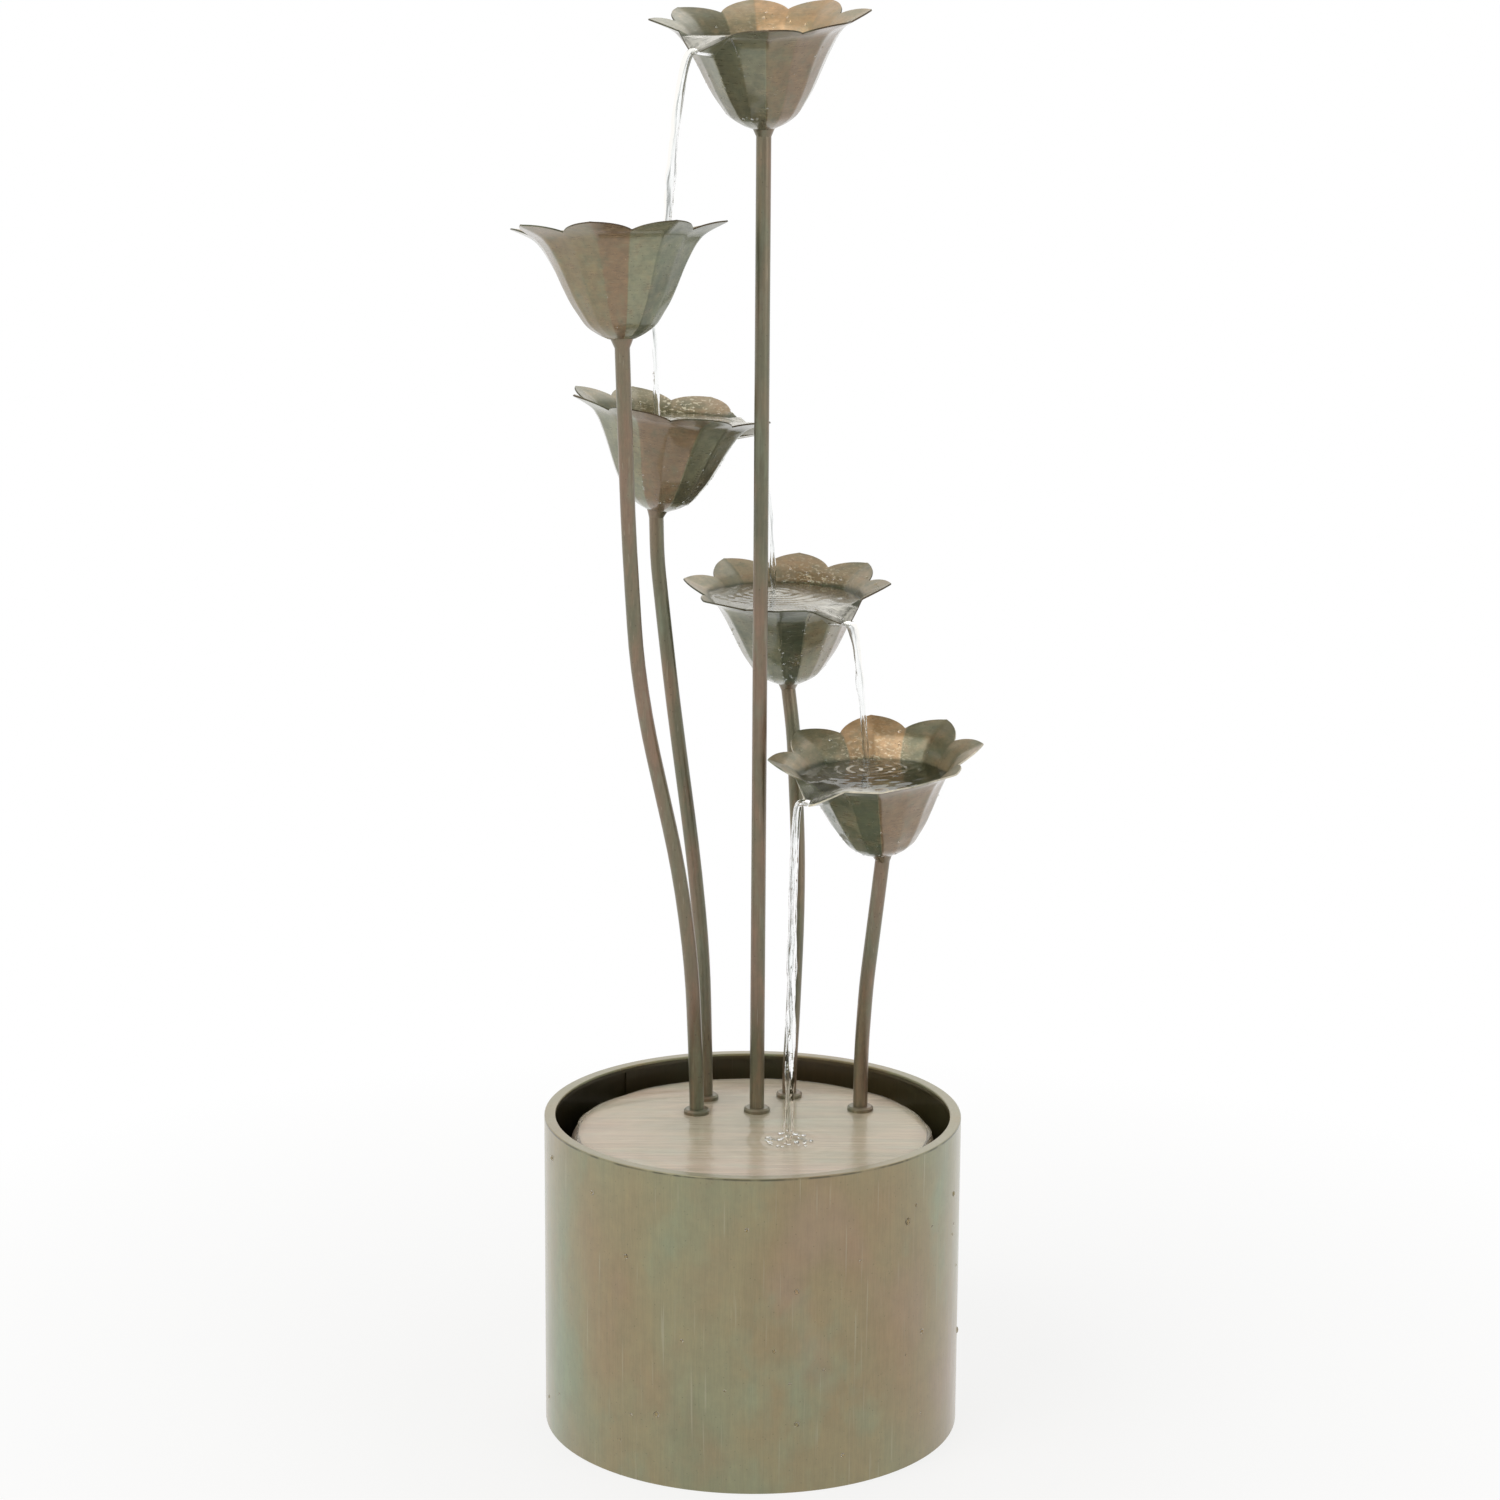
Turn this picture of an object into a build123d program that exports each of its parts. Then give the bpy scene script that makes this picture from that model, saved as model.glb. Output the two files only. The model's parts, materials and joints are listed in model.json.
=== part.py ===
from build123d import *
from math import cos, radians, sin, sqrt, tan
import os

# Tiered metal fountain: a round sheet metal basin with a flat deck sunk below its rim, and five flower cups on
# tube stems that stand on the deck. Each cup pours into the next one down. Millimetres, +Z up, front towards -Y,
# origin on the floor in the middle of the basin.

# Basin
basin_radius = 150.0
basin_height = 229.0
wall_sheet = 1.5
rim_flange_width = 8.0
rim_lip_depth = 4.0
rim_bend_radius = 1.0
floor_sheet = 1.5
floor_flange_height = 12.0
seam_width = 12.0
seam_sheet = 1.0
seam_angle = 128.0
seam_weld_gap = 0.3

# Deck plate and its brackets
moat_width = 17.5
deck_drop = 15.0
deck_sheet = 1.5
deck_skirt = 12.0
deck_edge_radius = 8.0
deck_seat_gap = 0.3
bracket_count = 4
bracket_first_angle = 45.0
bracket_width = 16.0
bracket_sheet = 2.0
bracket_reach = 30.0
bracket_leg = 22.0

# Cord outlet high in the back wall
cord_hole_angle = 60.0
cord_hole_drop = 42.0
cord_hole_radius = 6.0
cord_bore_radius = 3.2
grommet_flange_radius = 8.5
grommet_flange = 1.5

# Stems
stem_radius = 5.3
stem_bore_radius = 4.2
stem_straight_foot = 18.0
stem_tail = 32.0
stem_thread_clearance = 0.05
stem_hole_clearance = 0.2
arc_share = 0.45
depth_lean_power = 1.3

# Foot collars, washers and nuts that hold the stems to the deck
collar_radius = 9.5
collar_height = 4.0
collar_edge = 1.2
deck_washer_radius = 10.5
deck_washer_sheet = 1.2
deck_nut_flats = 17.0
deck_nut_height = 5.0

# Flower cups
cup_tip_radius = 77.0
cup_tip_height = 76.8
cup_notch_radius = 62.5
cup_sheet = 1.1
cup_floor_radius = 9.0
cup_floor_thickness = 1.2
petal_count = 8
valley_share = 0.045
lip_fold_radius_share = 0.645
lip_fold_height_share = 0.71
lip_tip_radius_share = 0.91
lip_tip_height_share = 0.79
lip_root_share = 0.985
# Outer side of a petal's ridge, as shares of the tip's radius and height, from the floor's edge to past the tip
ridge_radius_shares = [0.212, 0.317, 0.394, 0.460, 0.520, 0.592, 0.660, 0.726, 0.815, 1.030]
ridge_height_shares = [0.045, 0.120, 0.227, 0.333, 0.454, 0.607, 0.734, 0.835, 0.915, 1.014]

# Ferrule, seal and nut that hold each cup on its stem
ferrule_cone_height = 6.0
ferrule_spigot = 8.0
ferrule_spigot_clearance = 0.05
stud_radius = 3.0
stud_height = 8.0
stud_water_bore = 1.8
stud_hole_clearance = 0.2
cup_seal_radius = 7.0
cup_seal_sheet = 1.2
cup_nut_flats = 10.0
cup_nut_height = 4.5

# Places of the five flowers, from the top one down: foot on the deck, then underside of the cup. The first foot
# stands over the pump, and the others keep their distance from the deck's back edge, the last one also from its
# right edge.
foot_1_x, foot_1_y = 3.0, 45.0
cup_1_x, cup_1_y, cup_1_height = 3.0, 45.0, 926.0
foot_2_x, foot_2_from_back = -41.0, 91.0
cup_2_x, cup_2_y, cup_2_height = -93.5, -4.0, 784.0
foot_3_x, foot_3_from_back = -35.0, 56.0
cup_3_x, cup_3_y, cup_3_height = -72.0, 102.0, 651.0
foot_4_x, foot_4_from_back = 27.0, 49.0
cup_4_x, cup_4_y, cup_4_height = 24.2, 136.0, 518.0
foot_5_from_right, foot_5_from_back = 52.0, 81.0
cup_5_x, cup_5_y, cup_5_height = 91.5, 30.0, 414.0
stem_4_bow = 7.0

# Pump
pump_width = 54.0
pump_length = 52.0
pump_height = 46.0
pump_corner_radius = 5.0
suction_cup_height = 6.0
suction_cup_radius = 8.0
suction_stalk_radius = 3.0
suction_inset = 10.0
volute_radius = 16.5
volute_depth = 16.0
volute_cover_sheet = 2.0
volute_cover_radius = 19.0
volute_cover_clearance = 0.1
volute_eye_radius = 8.5
volute_hub_radius = 4.2
spoke_count = 3
spoke_width = 2.2
sleeve_bore_radius = 9.6
sleeve_wall = 1.6
sleeve_depth = 25.0
potting_margin = 7.0
potting_front_wall = 5.0
stator_clearance = 0.3
stator_length = 22.0
back_plate_sheet = 3.0
gland_radius = 6.0
gland_tip_radius = 4.2
gland_length = 15.0
gland_bore_radius = 2.8
shaft_radius = 1.2
shaft_clearance = 0.06
bush_radius = 3.0
bush_length = 4.0
impeller_radius = 14.0
impeller_disc = 2.0
impeller_end_gap = 1.0
impeller_hub_radius = 4.0
blade_count = 6
blade_sheet = 1.5
magnet_radius = 8.9
magnet_length = 19.0
outlet_radius = 5.27
outlet_bore_radius = 3.8
outlet_flange_radius = 8.5
outlet_flange = 3.0
outlet_length = 26.0
cover_length = 20.0
cover_wall = 2.0
cover_gap = 0.3
slot_count = 3
slot_width = 2.6
slot_pitch = 5.2
slot_margin = 6.0
sponge_clearance = 0.3
sponge_front_gap = 2.5
sponge_back_gap = 1.0
dial_radius = 8.0
dial_sheet = 3.0
dial_grip_width = 2.5
dial_grip_height = 2.0
dial_pin_radius = 2.4
dial_pin_clearance = 0.08

# Supply hose between pump and main stem
hose_radius = 7.6
hose_fit = 0.06
hose_overlap = 18.0
hose_top_gap = 2.0
clamp_sheet = 1.0
clamp_width = 8.0
clamp_drop = 4.0
clamp_screw_radius = 2.2
clamp_screw_length = 12.0

# One overrun for cuts that pass right through
overrun = 5.0

# Heights and radii worked out from the sizes above
basin_inside = basin_radius - wall_sheet
deck_radius = basin_inside - moat_width
foot_2_y = deck_radius - foot_2_from_back
foot_3_y = deck_radius - foot_3_from_back
foot_4_y = deck_radius - foot_4_from_back
foot_5_x = deck_radius - foot_5_from_right
foot_5_y = deck_radius - foot_5_from_back
floor_top = floor_sheet
deck_top = basin_height - deck_drop
deck_under = deck_top - deck_sheet
skirt_bottom = deck_top - deck_skirt
bracket_top = skirt_bottom - deck_seat_gap
pump_x, pump_y = foot_1_x, foot_1_y
pump_bottom = floor_top + suction_cup_height
pump_axis_height = pump_bottom + pump_height / 2
pump_top = pump_bottom + pump_height
pump_front = pump_y - volute_depth / 2 - volute_cover_sheet
pump_back = pump_front + pump_length
volute_front = pump_front + volute_cover_sheet
volute_back = volute_front + volute_depth
sleeve_end = volute_back + sleeve_depth
outlet_top = pump_top + outlet_length
hose_bottom = outlet_top - hose_overlap
hose_bore_radius = stem_radius + hose_fit
stem_end = deck_top - stem_tail


def ring_point(radius, angle):
    # Point at an angle counted from the front, -Y, and positive towards +X
    return radius * sin(radians(angle)), -radius * cos(radians(angle))


def across(y):
    # Upright plane square to the pump's axis, seen from the front, with its origin on that axis
    return Plane(origin=(pump_x, y, pump_axis_height), x_dir=(1, 0, 0), z_dir=(0, -1, 0))


def inset(outline, thickness):
    # Moves each point of an open radius and height outline inwards, square to the line there
    moved = []
    for i, (radius, height) in enumerate(outline):
        before = outline[max(i - 1, 0)]
        after = outline[min(i + 1, len(outline) - 1)]
        run, rise = after[0] - before[0], after[1] - before[1]
        length = sqrt(run**2 + rise**2)
        moved.append((radius - thickness * rise / length, height + thickness * run / length))
    return moved


# Basin wall: a rolled sheet with a flat inward rim that ends in a short turned-down lip
with BuildPart() as basin_wall:
    with BuildSketch(Plane.XZ):
        with Locations((basin_inside, 0)):
            Rectangle(wall_sheet, basin_height, align=(Align.MIN, Align.MIN))
        with Locations((basin_radius - rim_flange_width, basin_height - wall_sheet)):
            Rectangle(rim_flange_width, wall_sheet, align=(Align.MIN, Align.MIN))
        with Locations((basin_radius - rim_flange_width, basin_height - rim_lip_depth)):
            Rectangle(wall_sheet, rim_lip_depth, align=(Align.MIN, Align.MIN))
    revolve(axis=Axis.Z)
    top_edges = basin_wall.edges().filter_by(GeomType.CIRCLE).group_by(Axis.Z)[-1]
    fillet(top_edges, rim_bend_radius)
    cord_plane = Plane(
        origin=(0, 0, basin_height - cord_hole_drop),
        x_dir=(-sin(radians(cord_hole_angle)), cos(radians(cord_hole_angle)), 0),
        z_dir=(cos(radians(cord_hole_angle)), sin(radians(cord_hole_angle)), 0),
    )
    with BuildSketch(cord_plane):
        Circle(cord_hole_radius)
    extrude(amount=basin_radius + overrun, mode=Mode.SUBTRACT)
basin_wall.part.label = "basin_wall"

# Basin floor: a shallow pan welded inside the wall
with BuildPart() as basin_floor:
    with BuildSketch(Plane.XY):
        Circle(basin_inside)
    extrude(amount=floor_sheet)
    with BuildSketch(Plane.XY.offset(floor_top)):
        Circle(basin_inside)
        Circle(basin_inside - floor_sheet, mode=Mode.SUBTRACT)
    extrude(amount=floor_flange_height)
basin_floor.part.label = "basin_floor"

# Lap strap down the inside of the wall's joint
with BuildPart() as wall_seam:
    with BuildSketch(Plane.XY.offset(floor_top + floor_flange_height)):
        with Locations(Rotation(0, 0, seam_angle)):
            with Locations((basin_inside - seam_weld_gap - seam_sheet, 0)):
                Rectangle(seam_sheet + overrun, seam_width, align=(Align.MIN, Align.CENTER))
        Circle(basin_inside - seam_weld_gap, mode=Mode.INTERSECT)
    extrude(amount=basin_height - rim_lip_depth - floor_top - floor_flange_height)
wall_seam.part.label = "wall_seam"

# Deck brackets: angles welded to the wall, one under each quarter of the deck
with BuildPart() as deck_brackets:
    with PolarLocations(0, bracket_count, start_angle=bracket_first_angle):
        with Locations((basin_inside + overrun, 0, bracket_top)):
            Box(
                bracket_reach + overrun,
                bracket_width,
                bracket_sheet,
                align=(Align.MAX, Align.CENTER, Align.MAX),
            )
            Box(
                bracket_sheet + overrun,
                bracket_width,
                bracket_leg,
                align=(Align.MAX, Align.CENTER, Align.MAX),
            )
    with BuildSketch(Plane.XY):
        Circle(basin_inside)
    extrude(amount=basin_height, mode=Mode.INTERSECT)
deck_brackets.part.label = "deck_brackets"

# Rubber grommet in the cord hole, with a flange on each side of the wall
inner_seat = sqrt(basin_inside**2 - grommet_flange_radius**2)
with BuildPart() as cord_grommet:
    with BuildSketch(cord_plane.offset(inner_seat - grommet_flange)):
        Circle(grommet_flange_radius)
    extrude(amount=grommet_flange)
    with BuildSketch(cord_plane.offset(inner_seat)):
        Circle(cord_hole_radius)
    extrude(amount=basin_radius - inner_seat)
    with BuildSketch(cord_plane.offset(basin_radius)):
        Circle(grommet_flange_radius)
    extrude(amount=grommet_flange)
    with BuildSketch(cord_plane.offset(inner_seat - grommet_flange - overrun)):
        Circle(cord_bore_radius)
    extrude(amount=basin_radius - inner_seat + 2 * grommet_flange + 2 * overrun, mode=Mode.SUBTRACT)
cord_grommet.part.label = "cord_grommet"

# Pump housing: a block with the volute in front, the closed rotor sleeve behind it and the coil pocket round that
pocket_width = pump_width - 2 * potting_margin
pocket_height = pump_height - 2 * potting_margin
pocket_front = volute_back + potting_front_wall
with BuildPart() as pump_housing:
    with BuildSketch(across(pump_back)):
        RectangleRounded(pump_width, pump_height, pump_corner_radius)
    extrude(amount=pump_length)
    with BuildSketch(across(pump_back)):
        Rectangle(pocket_width, pocket_height)
    extrude(amount=pump_back - pocket_front, mode=Mode.SUBTRACT)
    with BuildSketch(across(sleeve_end + sleeve_wall)):
        Circle(sleeve_bore_radius + sleeve_wall)
    extrude(amount=sleeve_end + sleeve_wall - volute_back)
    with BuildSketch(across(sleeve_end)):
        Circle(sleeve_bore_radius)
    extrude(amount=sleeve_depth + overrun, mode=Mode.SUBTRACT)
    with BuildSketch(across(volute_back)):
        Circle(volute_radius)
    extrude(amount=volute_depth + overrun, mode=Mode.SUBTRACT)
    with BuildSketch(across(volute_front)):
        Circle(volute_cover_radius + volute_cover_clearance)
    extrude(amount=volute_cover_sheet + overrun, mode=Mode.SUBTRACT)
    with BuildSketch(Plane.XY.offset(pump_axis_height)):
        with Locations((pump_x, pump_y)):
            Circle(outlet_bore_radius)
    extrude(amount=pump_height, mode=Mode.SUBTRACT)
pump_housing.part.label = "pump_housing"

# Stator core round the rotor sleeve, sealed in the coil pocket
with BuildPart() as pump_stator:
    with BuildSketch(across(pocket_front + stator_clearance + stator_length)):
        Rectangle(pocket_width - 2 * stator_clearance, pocket_height - 2 * stator_clearance)
        Circle(sleeve_bore_radius + sleeve_wall + stator_clearance, mode=Mode.SUBTRACT)
    extrude(amount=stator_length)
pump_stator.part.label = "pump_stator"

# Back plate that closes the coil pocket, with the hole for the cord gland
with BuildPart() as pump_back_plate:
    with BuildSketch(across(pump_back + back_plate_sheet)):
        RectangleRounded(pump_width, pump_height, pump_corner_radius)
        Circle(gland_radius, mode=Mode.SUBTRACT)
    extrude(amount=back_plate_sheet)
pump_back_plate.part.label = "pump_back_plate"

# Tapered gland where the pump's cord leaves
gland_back = pump_back + back_plate_sheet + gland_length
with BuildPart() as cord_gland:
    with BuildSketch(across(pump_back + back_plate_sheet)):
        Circle(gland_radius)
    extrude(amount=back_plate_sheet)
    with BuildSketch(across(gland_back)):
        Circle(gland_tip_radius)
    with BuildSketch(across(pump_back + back_plate_sheet)):
        Circle(gland_radius)
    loft()
    with BuildSketch(across(gland_back + overrun)):
        Circle(gland_bore_radius)
    extrude(amount=gland_length + overrun, mode=Mode.SUBTRACT)
cord_gland.part.label = "cord_gland"

# Outlet nozzle that the hose slides over
with BuildPart() as pump_outlet:
    with BuildSketch(Plane.XY.offset(pump_top)):
        with Locations((pump_x, pump_y)):
            Circle(outlet_flange_radius)
    extrude(amount=outlet_flange)
    with BuildSketch(Plane.XY.offset(pump_top)):
        with Locations((pump_x, pump_y)):
            Circle(outlet_radius)
    extrude(amount=outlet_length)
    with BuildSketch(Plane.XY.offset(pump_top)):
        with Locations((pump_x, pump_y)):
            Circle(outlet_bore_radius)
    extrude(amount=outlet_length, mode=Mode.SUBTRACT)
pump_outlet.part.label = "pump_outlet"

# Volute cover: a disc with the intake eye and a spoked hub for the front bush
with BuildPart() as volute_cover:
    with BuildSketch(across(volute_front)):
        Circle(volute_cover_radius)
        Circle(volute_eye_radius, mode=Mode.SUBTRACT)
        with PolarLocations(0, spoke_count, start_angle=90):
            Rectangle(volute_eye_radius + spoke_width, spoke_width, align=(Align.MIN, Align.CENTER))
        Circle(volute_hub_radius)
        Circle(bush_radius, mode=Mode.SUBTRACT)
    extrude(amount=volute_cover_sheet)
volute_cover.part.label = "volute_cover"

# Rear and front shaft bushes: the rear one seats in the closed end of the sleeve, the front one in the hub
with BuildPart() as shaft_bushes:
    with BuildSketch(across(sleeve_end)):
        Circle(sleeve_bore_radius)
        Circle(shaft_radius, mode=Mode.SUBTRACT)
    extrude(amount=bush_length / 2)
    with BuildSketch(across(volute_front)):
        Circle(bush_radius)
        Circle(shaft_radius, mode=Mode.SUBTRACT)
    extrude(amount=volute_cover_sheet)
shaft_bushes.part.label = "shaft_bushes"

# Fixed shaft that the impeller runs on
with BuildPart() as impeller_shaft:
    with BuildSketch(across(sleeve_end)):
        Circle(shaft_radius)
    extrude(amount=sleeve_end - pump_front)
impeller_shaft.part.label = "impeller_shaft"

# Impeller: round magnet, disc and straight blades on one hub
magnet_back = sleeve_end - bush_length / 2 - impeller_end_gap
disc_back = volute_back - impeller_end_gap
with BuildPart() as impeller:
    with BuildSketch(across(magnet_back)):
        Circle(magnet_radius)
    extrude(amount=magnet_length)
    with BuildSketch(across(magnet_back)):
        Circle(impeller_hub_radius)
    extrude(amount=magnet_back - volute_front - impeller_end_gap)
    with BuildSketch(across(disc_back)):
        Circle(impeller_radius)
    extrude(amount=impeller_disc)
    with BuildSketch(across(disc_back)):
        with PolarLocations(0, blade_count):
            Rectangle(impeller_radius, blade_sheet, align=(Align.MIN, Align.CENTER))
        Circle(impeller_radius, mode=Mode.INTERSECT)
    extrude(amount=disc_back - volute_front - impeller_end_gap)
    with BuildSketch(across(magnet_back)):
        Circle(shaft_radius + shaft_clearance)
    extrude(amount=magnet_back - pump_front, mode=Mode.SUBTRACT)
impeller.part.label = "impeller"

# Suction cups under the pump's four corners
cup_foot_x = pump_width / 2 - suction_inset
cup_foot_y = pump_length / 2 - suction_inset
pump_middle_y = (pump_front + pump_back) / 2
with BuildPart() as suction_cups:
    with Locations((pump_x, pump_middle_y)):
        with GridLocations(2 * cup_foot_x, 2 * cup_foot_y, 2, 2):
            with Locations((0, 0, floor_top)):
                Cone(
                    suction_cup_radius,
                    suction_stalk_radius,
                    suction_cup_height * 2 / 3,
                    align=(Align.CENTER, Align.CENTER, Align.MIN),
                )
                Cylinder(
                    suction_stalk_radius,
                    suction_cup_height,
                    align=(Align.CENTER, Align.CENTER, Align.MIN),
                )
suction_cups.part.label = "suction_cups"

# Intake cover: a slotted box that clips over the pump's front
cover_back = pump_front - cover_gap
cover_front = cover_back - cover_length
slot_height = pump_height - 2 * slot_margin
with BuildPart() as intake_cover:
    with BuildSketch(across(cover_back)):
        RectangleRounded(pump_width, pump_height, pump_corner_radius)
    extrude(amount=cover_length)
    with BuildSketch(across(cover_back)):
        RectangleRounded(
            pump_width - 2 * cover_wall, pump_height - 2 * cover_wall, pump_corner_radius - cover_wall
        )
    extrude(amount=cover_length - cover_wall, mode=Mode.SUBTRACT)
    slot_offset = dial_radius + slot_pitch * (slot_count + 1) / 2
    with BuildSketch(across(cover_front + cover_wall)):
        with Locations((-slot_offset, 0), (slot_offset, 0)):
            with GridLocations(slot_pitch, 0, slot_count, 1):
                SlotOverall(slot_height, slot_width, rotation=90)
        Circle(dial_pin_radius + dial_pin_clearance)
    extrude(amount=cover_wall, mode=Mode.SUBTRACT)
intake_cover.part.label = "intake_cover"

# Filter sponge inside the intake cover
with BuildPart() as filter_sponge:
    with BuildSketch(across(cover_back - sponge_back_gap)):
        Rectangle(
            pump_width - 2 * cover_wall - 2 * sponge_clearance,
            pump_height - 2 * cover_wall - 2 * sponge_clearance,
        )
    extrude(amount=cover_length - cover_wall - sponge_front_gap - sponge_back_gap)
    fillet(filter_sponge.edges().filter_by(Axis.Y), pump_corner_radius - cover_wall)
filter_sponge.part.label = "filter_sponge"

# Flow dial: a knob with a finger grip, on a pin through the cover's front
dial_back = cover_front - sponge_clearance
with BuildPart() as flow_dial:
    with BuildSketch(across(dial_back)):
        Circle(dial_radius)
    extrude(amount=dial_sheet)
    with BuildSketch(across(dial_back - dial_sheet)):
        SlotOverall(2 * dial_radius - dial_grip_width, dial_grip_width, rotation=90)
    extrude(amount=dial_grip_height)
    with BuildSketch(across(cover_front + cover_wall)):
        Circle(dial_pin_radius)
    extrude(amount=cover_wall + sponge_clearance)
flow_dial.part.label = "flow_dial"

# The five flowers. The pouring lip's direction and the way the cup leans are angles from the front, positive
# towards +X. Height shares run from the deck's top to the stem's upper end, and lean shares from the foot to the
# cup, for the corners that the arcs round off.
flowers = [
    dict(
        name="1", foot=(foot_1_x, foot_1_y), cup=(cup_1_x, cup_1_y, cup_1_height), lip=-41.0,
        lean=7.9, lean_towards=-16.0, height_shares=[], lean_shares=[], bow=0, bow_shares=[],
    ),
    dict(
        name="2", foot=(foot_2_x, foot_2_y), cup=(cup_2_x, cup_2_y, cup_2_height), lip=168.0,
        lean=6.1, lean_towards=-161.0, height_shares=[0.20, 0.33, 0.52, 0.61, 0.77],
        lean_shares=[0.07, 0.25, 0.69, 0.83, 0.93], bow=0, bow_shares=[0, 0, 0, 0, 0],
    ),
    dict(
        name="3", foot=(foot_3_x, foot_3_y), cup=(cup_3_x, cup_3_y, cup_3_height), lip=114.0,
        lean=7.6, lean_towards=90.0, height_shares=[0.25, 0.42, 0.71, 0.93],
        lean_shares=[0.06, 0.25, 0.70, 0.98], bow=0, bow_shares=[0, 0, 0, 0],
    ),
    dict(
        name="4", foot=(foot_4_x, foot_4_y), cup=(cup_4_x, cup_4_y, cup_4_height), lip=38.0,
        lean=7.1, lean_towards=-9.0, height_shares=[0.19, 0.44, 0.62, 0.89],
        lean_shares=[0.12, 0.40, 0.60, 0.88], bow=stem_4_bow, bow_shares=[0.36, 0.90, 1.0, 0.55],
    ),
    dict(
        name="5", foot=(foot_5_x, foot_5_y), cup=(cup_5_x, cup_5_y, cup_5_height), lip=-45.0,
        lean=10.2, lean_towards=-27.0, height_shares=[0.27, 0.51, 0.65, 0.88],
        lean_shares=[0.03, 0.24, 0.46, 0.82], bow=0, bow_shares=[0, 0, 0, 0],
    ),
]


def cup_plane(flower):
    # Plane of the cup's underside: its Z leans towards one side, and the pouring lip points along its -Y
    lean = radians(flower["lean"])
    side_x, side_y = ring_point(sin(lean), flower["lean_towards"])
    axis = Vector(side_x, side_y, cos(lean))
    lip = radians(flower["lip"])
    level = Vector(cos(lip), sin(lip), 0)
    return Plane(origin=flower["cup"], x_dir=(level - axis * level.dot(axis)).normalized(), z_dir=axis)


def stem_corners(flower):
    # The route's corners, from the tail under the deck up to the ferrule
    foot_x, foot_y = flower["foot"]
    top = cup_plane(flower).offset(-ferrule_cone_height).origin
    rise = top.Z - deck_top
    corners = [Vector(foot_x, foot_y, stem_end)]
    if flower["height_shares"]:
        corners.append(Vector(foot_x, foot_y, deck_top + stem_straight_foot))
    sways = zip(flower["height_shares"], flower["lean_shares"], flower["bow_shares"])
    for height_share, lean_share, bow_share in sways:
        x = foot_x + (top.X - foot_x) * lean_share + flower["bow"] * bow_share
        y = foot_y + (top.Y - foot_y) * height_share**depth_lean_power
        corners.append(Vector(x, y, deck_top + rise * height_share))
    if flower["height_shares"]:
        corners.append(top)
    else:
        corners.append(Vector(foot_x, foot_y, top.Z))
    return corners


def corner_radii(corners):
    # Each arc is as large as its two runs allow
    radii = []
    for before, corner, after in zip(corners, corners[1:], corners[2:]):
        turn = radians((corner - before).get_angle(after - corner))
        run = min((corner - before).length, (after - corner).length)
        radii.append(arc_share * run / tan(turn / 2))
    return radii


def make_stem(flower):
    # Tube along the route
    corners = stem_corners(flower)
    with BuildPart() as stem:
        with BuildLine() as route:
            if len(corners) > 2:
                FilletPolyline(*corners, radius=corner_radii(corners))
            else:
                Line(*corners)
        with BuildSketch(Plane(origin=route.line @ 0, z_dir=route.line % 0)):
            Circle(stem_radius)
            Circle(stem_bore_radius, mode=Mode.SUBTRACT)
        sweep(path=route.line)
    stem.part.label = "stem_" + flower["name"]
    return stem.part


def petal_ring(radius, height):
    # Sixteen corners of the cup at one height: petal ridges and, a little further in, the valleys between them
    valley = radius * (1 - valley_share * height / cup_tip_height)
    return [ring_point(valley if i % 2 else radius, i * half_petal) for i in range(2 * petal_count)]


# Flower cup with its underside on the plane it is made on: eight petals, one of them bent down into a V-shaped
# pouring lip that points along -Y
half_petal = 360 / petal_count / 2
ridge = [(cup_floor_radius, 0)]
ridge += [(cup_tip_radius * r, cup_tip_height * h) for r, h in zip(ridge_radius_shares, ridge_height_shares)]
lining = inset(ridge, cup_sheet)
lining[0] = (cup_floor_radius - cup_sheet, cup_floor_thickness)
lip_fold = Vector(
    *ring_point(cup_tip_radius * lip_fold_radius_share, 0), cup_tip_height * lip_fold_height_share
)
lip_tip = Vector(*ring_point(cup_tip_radius * lip_tip_radius_share, 0), cup_tip_height * lip_tip_height_share)
notch_height = cup_tip_height * ridge_height_shares[-2]
notches = [Vector(*ring_point(cup_notch_radius, side * half_petal), notch_height) for side in (-1, 1)]
notch_middle = (notches[0] + notches[1]) / 2
notch_half_gap = (notches[1] - notches[0]).length / 2
notch_rise = notch_middle - lip_fold
gap_normal = Vector(1, 0, 0).cross(notch_rise).normalized()
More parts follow.
